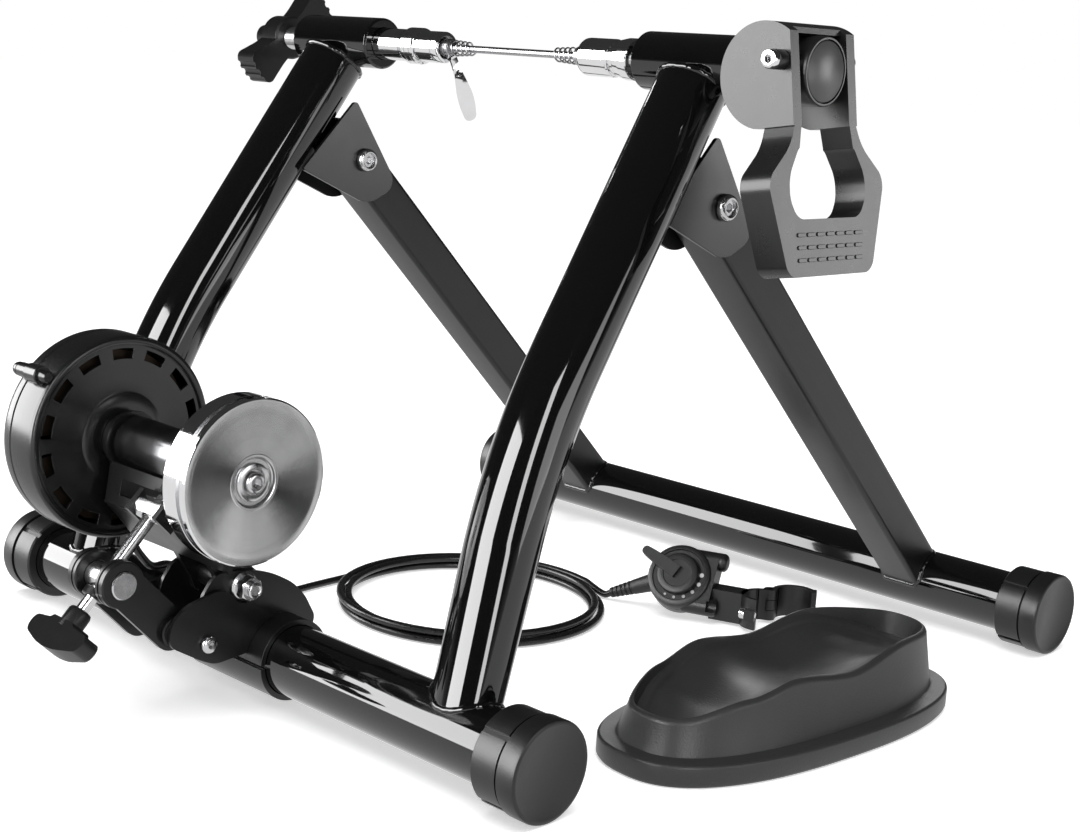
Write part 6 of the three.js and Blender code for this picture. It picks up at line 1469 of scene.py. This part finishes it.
def addRiser():
    half, length = riser["halfWidth"], riser["halfLength"]
    flange, rounding, ledge = riser["flangeHeight"], riser["flangeRound"], riser["ledge"]
    wall, top = ledge + riser["draft"], riser["topRound"]
    rim = wall + top
    rings = [(riser["footInset"], 1, 0, None), (0, 1, rounding, None),
             (0, 1, flange - rounding, None)]
    rings += [(rounding * (1 - math.cos(math.radians(a))), 1,
               flange - rounding * (1 - math.sin(math.radians(a))), None)
              for a in range(15, 91, 15)]
    rings += [(ledge - 2, 1, flange, None), (ledge - 0.6, 1, flange + 0.5, None),
              (ledge, 1, flange + 1.8, None)]
    rings += [(wall + top * (1 - math.cos(math.radians(a))), 1,
               None, top * (1 - math.sin(math.radians(a)))) for a in range(0, 91, 10)]
    rings += [(rim, 1 - share, None, drop) for share, drop in (
        (0.06, 0), (0.075, 0.25), (0.088, 1.1), (0.1, 1.7))]
    rings += [(rim, 0.9 * (1 - i / riser["topRings"]), None, 1.7)
              for i in range(1, riser["topRings"])]
    bm, loops = bmesh.new(), []
    for inset, scale, level, drop in rings:
        loop = []
        for k in range(riser["sides"]):
            angle = fullTurn * (k + 0.5) / riser["sides"]
            x, y = (math.copysign(abs(value) ** (2 / riser["squareness"]), value)
                    for value in (math.cos(angle), math.sin(angle)))
            x, y = x * (half - inset) * scale, y * (length - inset) * scale
            z = level
            if level is None:
                across = min(abs(x / (half - rim)), 1)
                trough = riser["troughDepth"] * (1 - across ** 2.4)
                z = rimHeight(y / (length - rim)) - drop - (trough if inset == rim else 0)
            loop.append(bm.verts.new((x, y, z)))
        loops.append([bm.edges.new(pair) for pair in zip(loop, loop[1:] + loop[:1])])
    for first, second in zip(loops, loops[1:]):
        bmesh.ops.bridge_loops(bm, edges=first + second)
    bmesh.ops.edgeloop_fill(bm, edges=loops[0] + loops[-1])
    addPiece("riserBlock", moved(bm, riser["place"], [(riser["heading"], "Z")]), "riserPlastic",
             "riser_body", sharp=40)


addRiser()
print("riser: block")


# Studio: a pale floor that stays white to the camera, a soft sky, and panels whose
# reflections draw the streaks on the paint
studio = {
    "floorHalf": 14, "floorColor": (0.86, 0.86, 0.86), "floorGlow": 0.48,
    "mirroredFloor": 0.9, "skyLevel": 0.65, "skyStops": ((0.5, 0.3), (0.53, 0.035)),
    "overheadPower": 60,
}
# A panel by place, aim, width, height and radiance
panels = {
    "sideStreakPanel": ((-0.17, -2.17, 0.78), (0.1, 0.0, 0.3), 1.5, 1.5, 12),
    "longStreakPanel": ((-2.46, -1.45, 0.86), (-1.74, 0.82, 0.5), 3.3, 1.7, 9),
    "rightStreakPanel": ((1.9, -1.15, 0.8), (0.1, 0.0, 0.3), 0.42, 1.6, 9),
    "lowRightPanel": ((1.48, 0.21, 0.343), (0.065, -0.237, 0.147), 0.65, 0.5, 2.6),
    "farStreakPanel": ((1.22, 1.27, 0.475), (0.24, 0.01, 0.39), 0.8, 0.52, 4.6),
    "riserPanel": ((-0.87, 1.63, 0.78), (0.24, 0.03, 0.05), 1.3, 0.7, 2.8),
}
# The long panel leaves out the legs, barrels, grips and rotor; the far one lights only the
# lever and the folding hinges, and the riser's only the riser
linkedPanels = {
    "longStreakPanel": ("EXCLUDE", "mainLegLeft", "mainLegRight", "axleBarrelLeft",
                        "axleBarrelRight", "tensionKnob", "tensionRod", "knobWings",
                        "flywheel", "roller"),
    "farStreakPanel": ("INCLUDE", "releaseLever", "leverRibs", "plungerCap",
                       "plungerHousing", "hingeBracketLeft", "hingeBracketRight"),
    "riserPanel": ("INCLUDE", "riserBlock"),
}


def addFloor():
    bm = bmesh.new()
    bmesh.ops.create_grid(bm, x_segments=1, y_segments=1, size=studio["floorHalf"])
    mesh = bpy.data.meshes.new("floor")
    bm.to_mesh(mesh)
    bm.free()
    floor = linked("floor", mesh)
    floor.location.z = -0.0004
    material = bpy.data.materials.new("paleFloor")
    material.use_nodes = True
    tree = material.node_tree
    shader = tree.nodes["Principled BSDF"]
    wire(tree, shader, {"Base Color": (*studio["floorColor"], 1), "Roughness": 0.55,
                        "Specular IOR Level": 0.0})
    path = addNode(tree, "LightPath")
    glow = addNode(tree, "Emission", {"Strength": mathNode(
        tree, "MULTIPLY", path["Is Camera Ray"], studio["floorGlow"])})
    both = addNode(tree, "AddShader", {0: shader.outputs[0], 1: glow[0]})
    mirrored = addNode(tree, "Emission", {"Strength": studio["mirroredFloor"]})
    either = addNode(tree, "MixShader", {
        0: path["Is Glossy Ray"], 1: both[0], 2: mirrored[0]})
    wire(tree, tree.nodes["Material Output"], {"Surface": either[0]})
    mesh.materials.append(material)


# The sky is white behind the object, as the camera sees it; in reflections it is white low
# down and dark above, as a studio is
def makeSky():
    world = bpy.data.worlds.new("studioSky")
    bpy.context.scene.world = world
    world.use_nodes = True
    tree = world.node_tree
    path = addNode(tree, "LightPath")
    parts = addNode(tree, "SeparateXYZ", {0: addNode(tree, "TexCoord")["Generated"]})
    height = mathNode(tree, "MULTIPLY_ADD", parts[2], 0.5, 0.5)
    ramp = addNode(tree, "ValToRGB", {0: height})[0]
    for stop, (place, grey) in zip(ramp.node.color_ramp.elements, studio["skyStops"]):
        stop.position, stop.color = place, (grey, grey, grey, 1)
    mirrored = mathNode(tree, "MAXIMUM", path["Is Glossy Ray"], path["Is Transmission Ray"])
    level = mathNode(tree, "MULTIPLY_ADD", mathNode(tree, "SUBTRACT", 1.0, path["Is Camera Ray"]),
                     studio["skyLevel"] - 1.0, 1.0)
    plain = addNode(tree, "Mix", {"Factor": mirrored, 6: level, 7: ramp}, data_type="RGBA")
    wire(tree, tree.nodes["Background"], {"Color": plain[2], "Strength": 1.0})


# A rectangular panel lamp; a panel for reflections lights no matt surface
def addPanel(name, place, aim, width, height, power, reflectionOnly=True):
    data = bpy.data.lights.new(name, "AREA")
    data.shape, data.size, data.size_y, data.energy = "RECTANGLE", width, height, power
    lamp = linked(name, data)
    lamp.location = place
    lamp.rotation_euler = (Vector(aim) - Vector(place)).to_track_quat("-Z", "Y").to_euler()
    lamp.visible_camera = False
    lamp.visible_diffuse, lamp.visible_glossy = not reflectionOnly, reflectionOnly
    return lamp


def linkPanel(lamp, state, *names):
    group = bpy.data.collections.new(f"{lamp.name}Pieces")
    for name in names:
        group.objects.link(bpy.data.objects[name])
    for item in group.collection_objects:
        item.light_linking.link_state = state
    lamp.light_linking.receiver_collection = group


addFloor()
makeSky()
for name, (place, aim, width, height, radiance) in panels.items():
    lamp = addPanel(name, place, aim, width, height, math.pi * radiance * width * height)
    if name in linkedPanels:
        linkPanel(lamp, *linkedPanels[name])
addPanel("softOverhead", (0.2, -0.6, 2.6), (0, 0, 0.1), 2.4, 2.4, studio["overheadPower"],
         reflectionOnly=False)
print("studio: floor, sky, panels")

bpy.context.scene.view_settings.view_transform = "Standard"
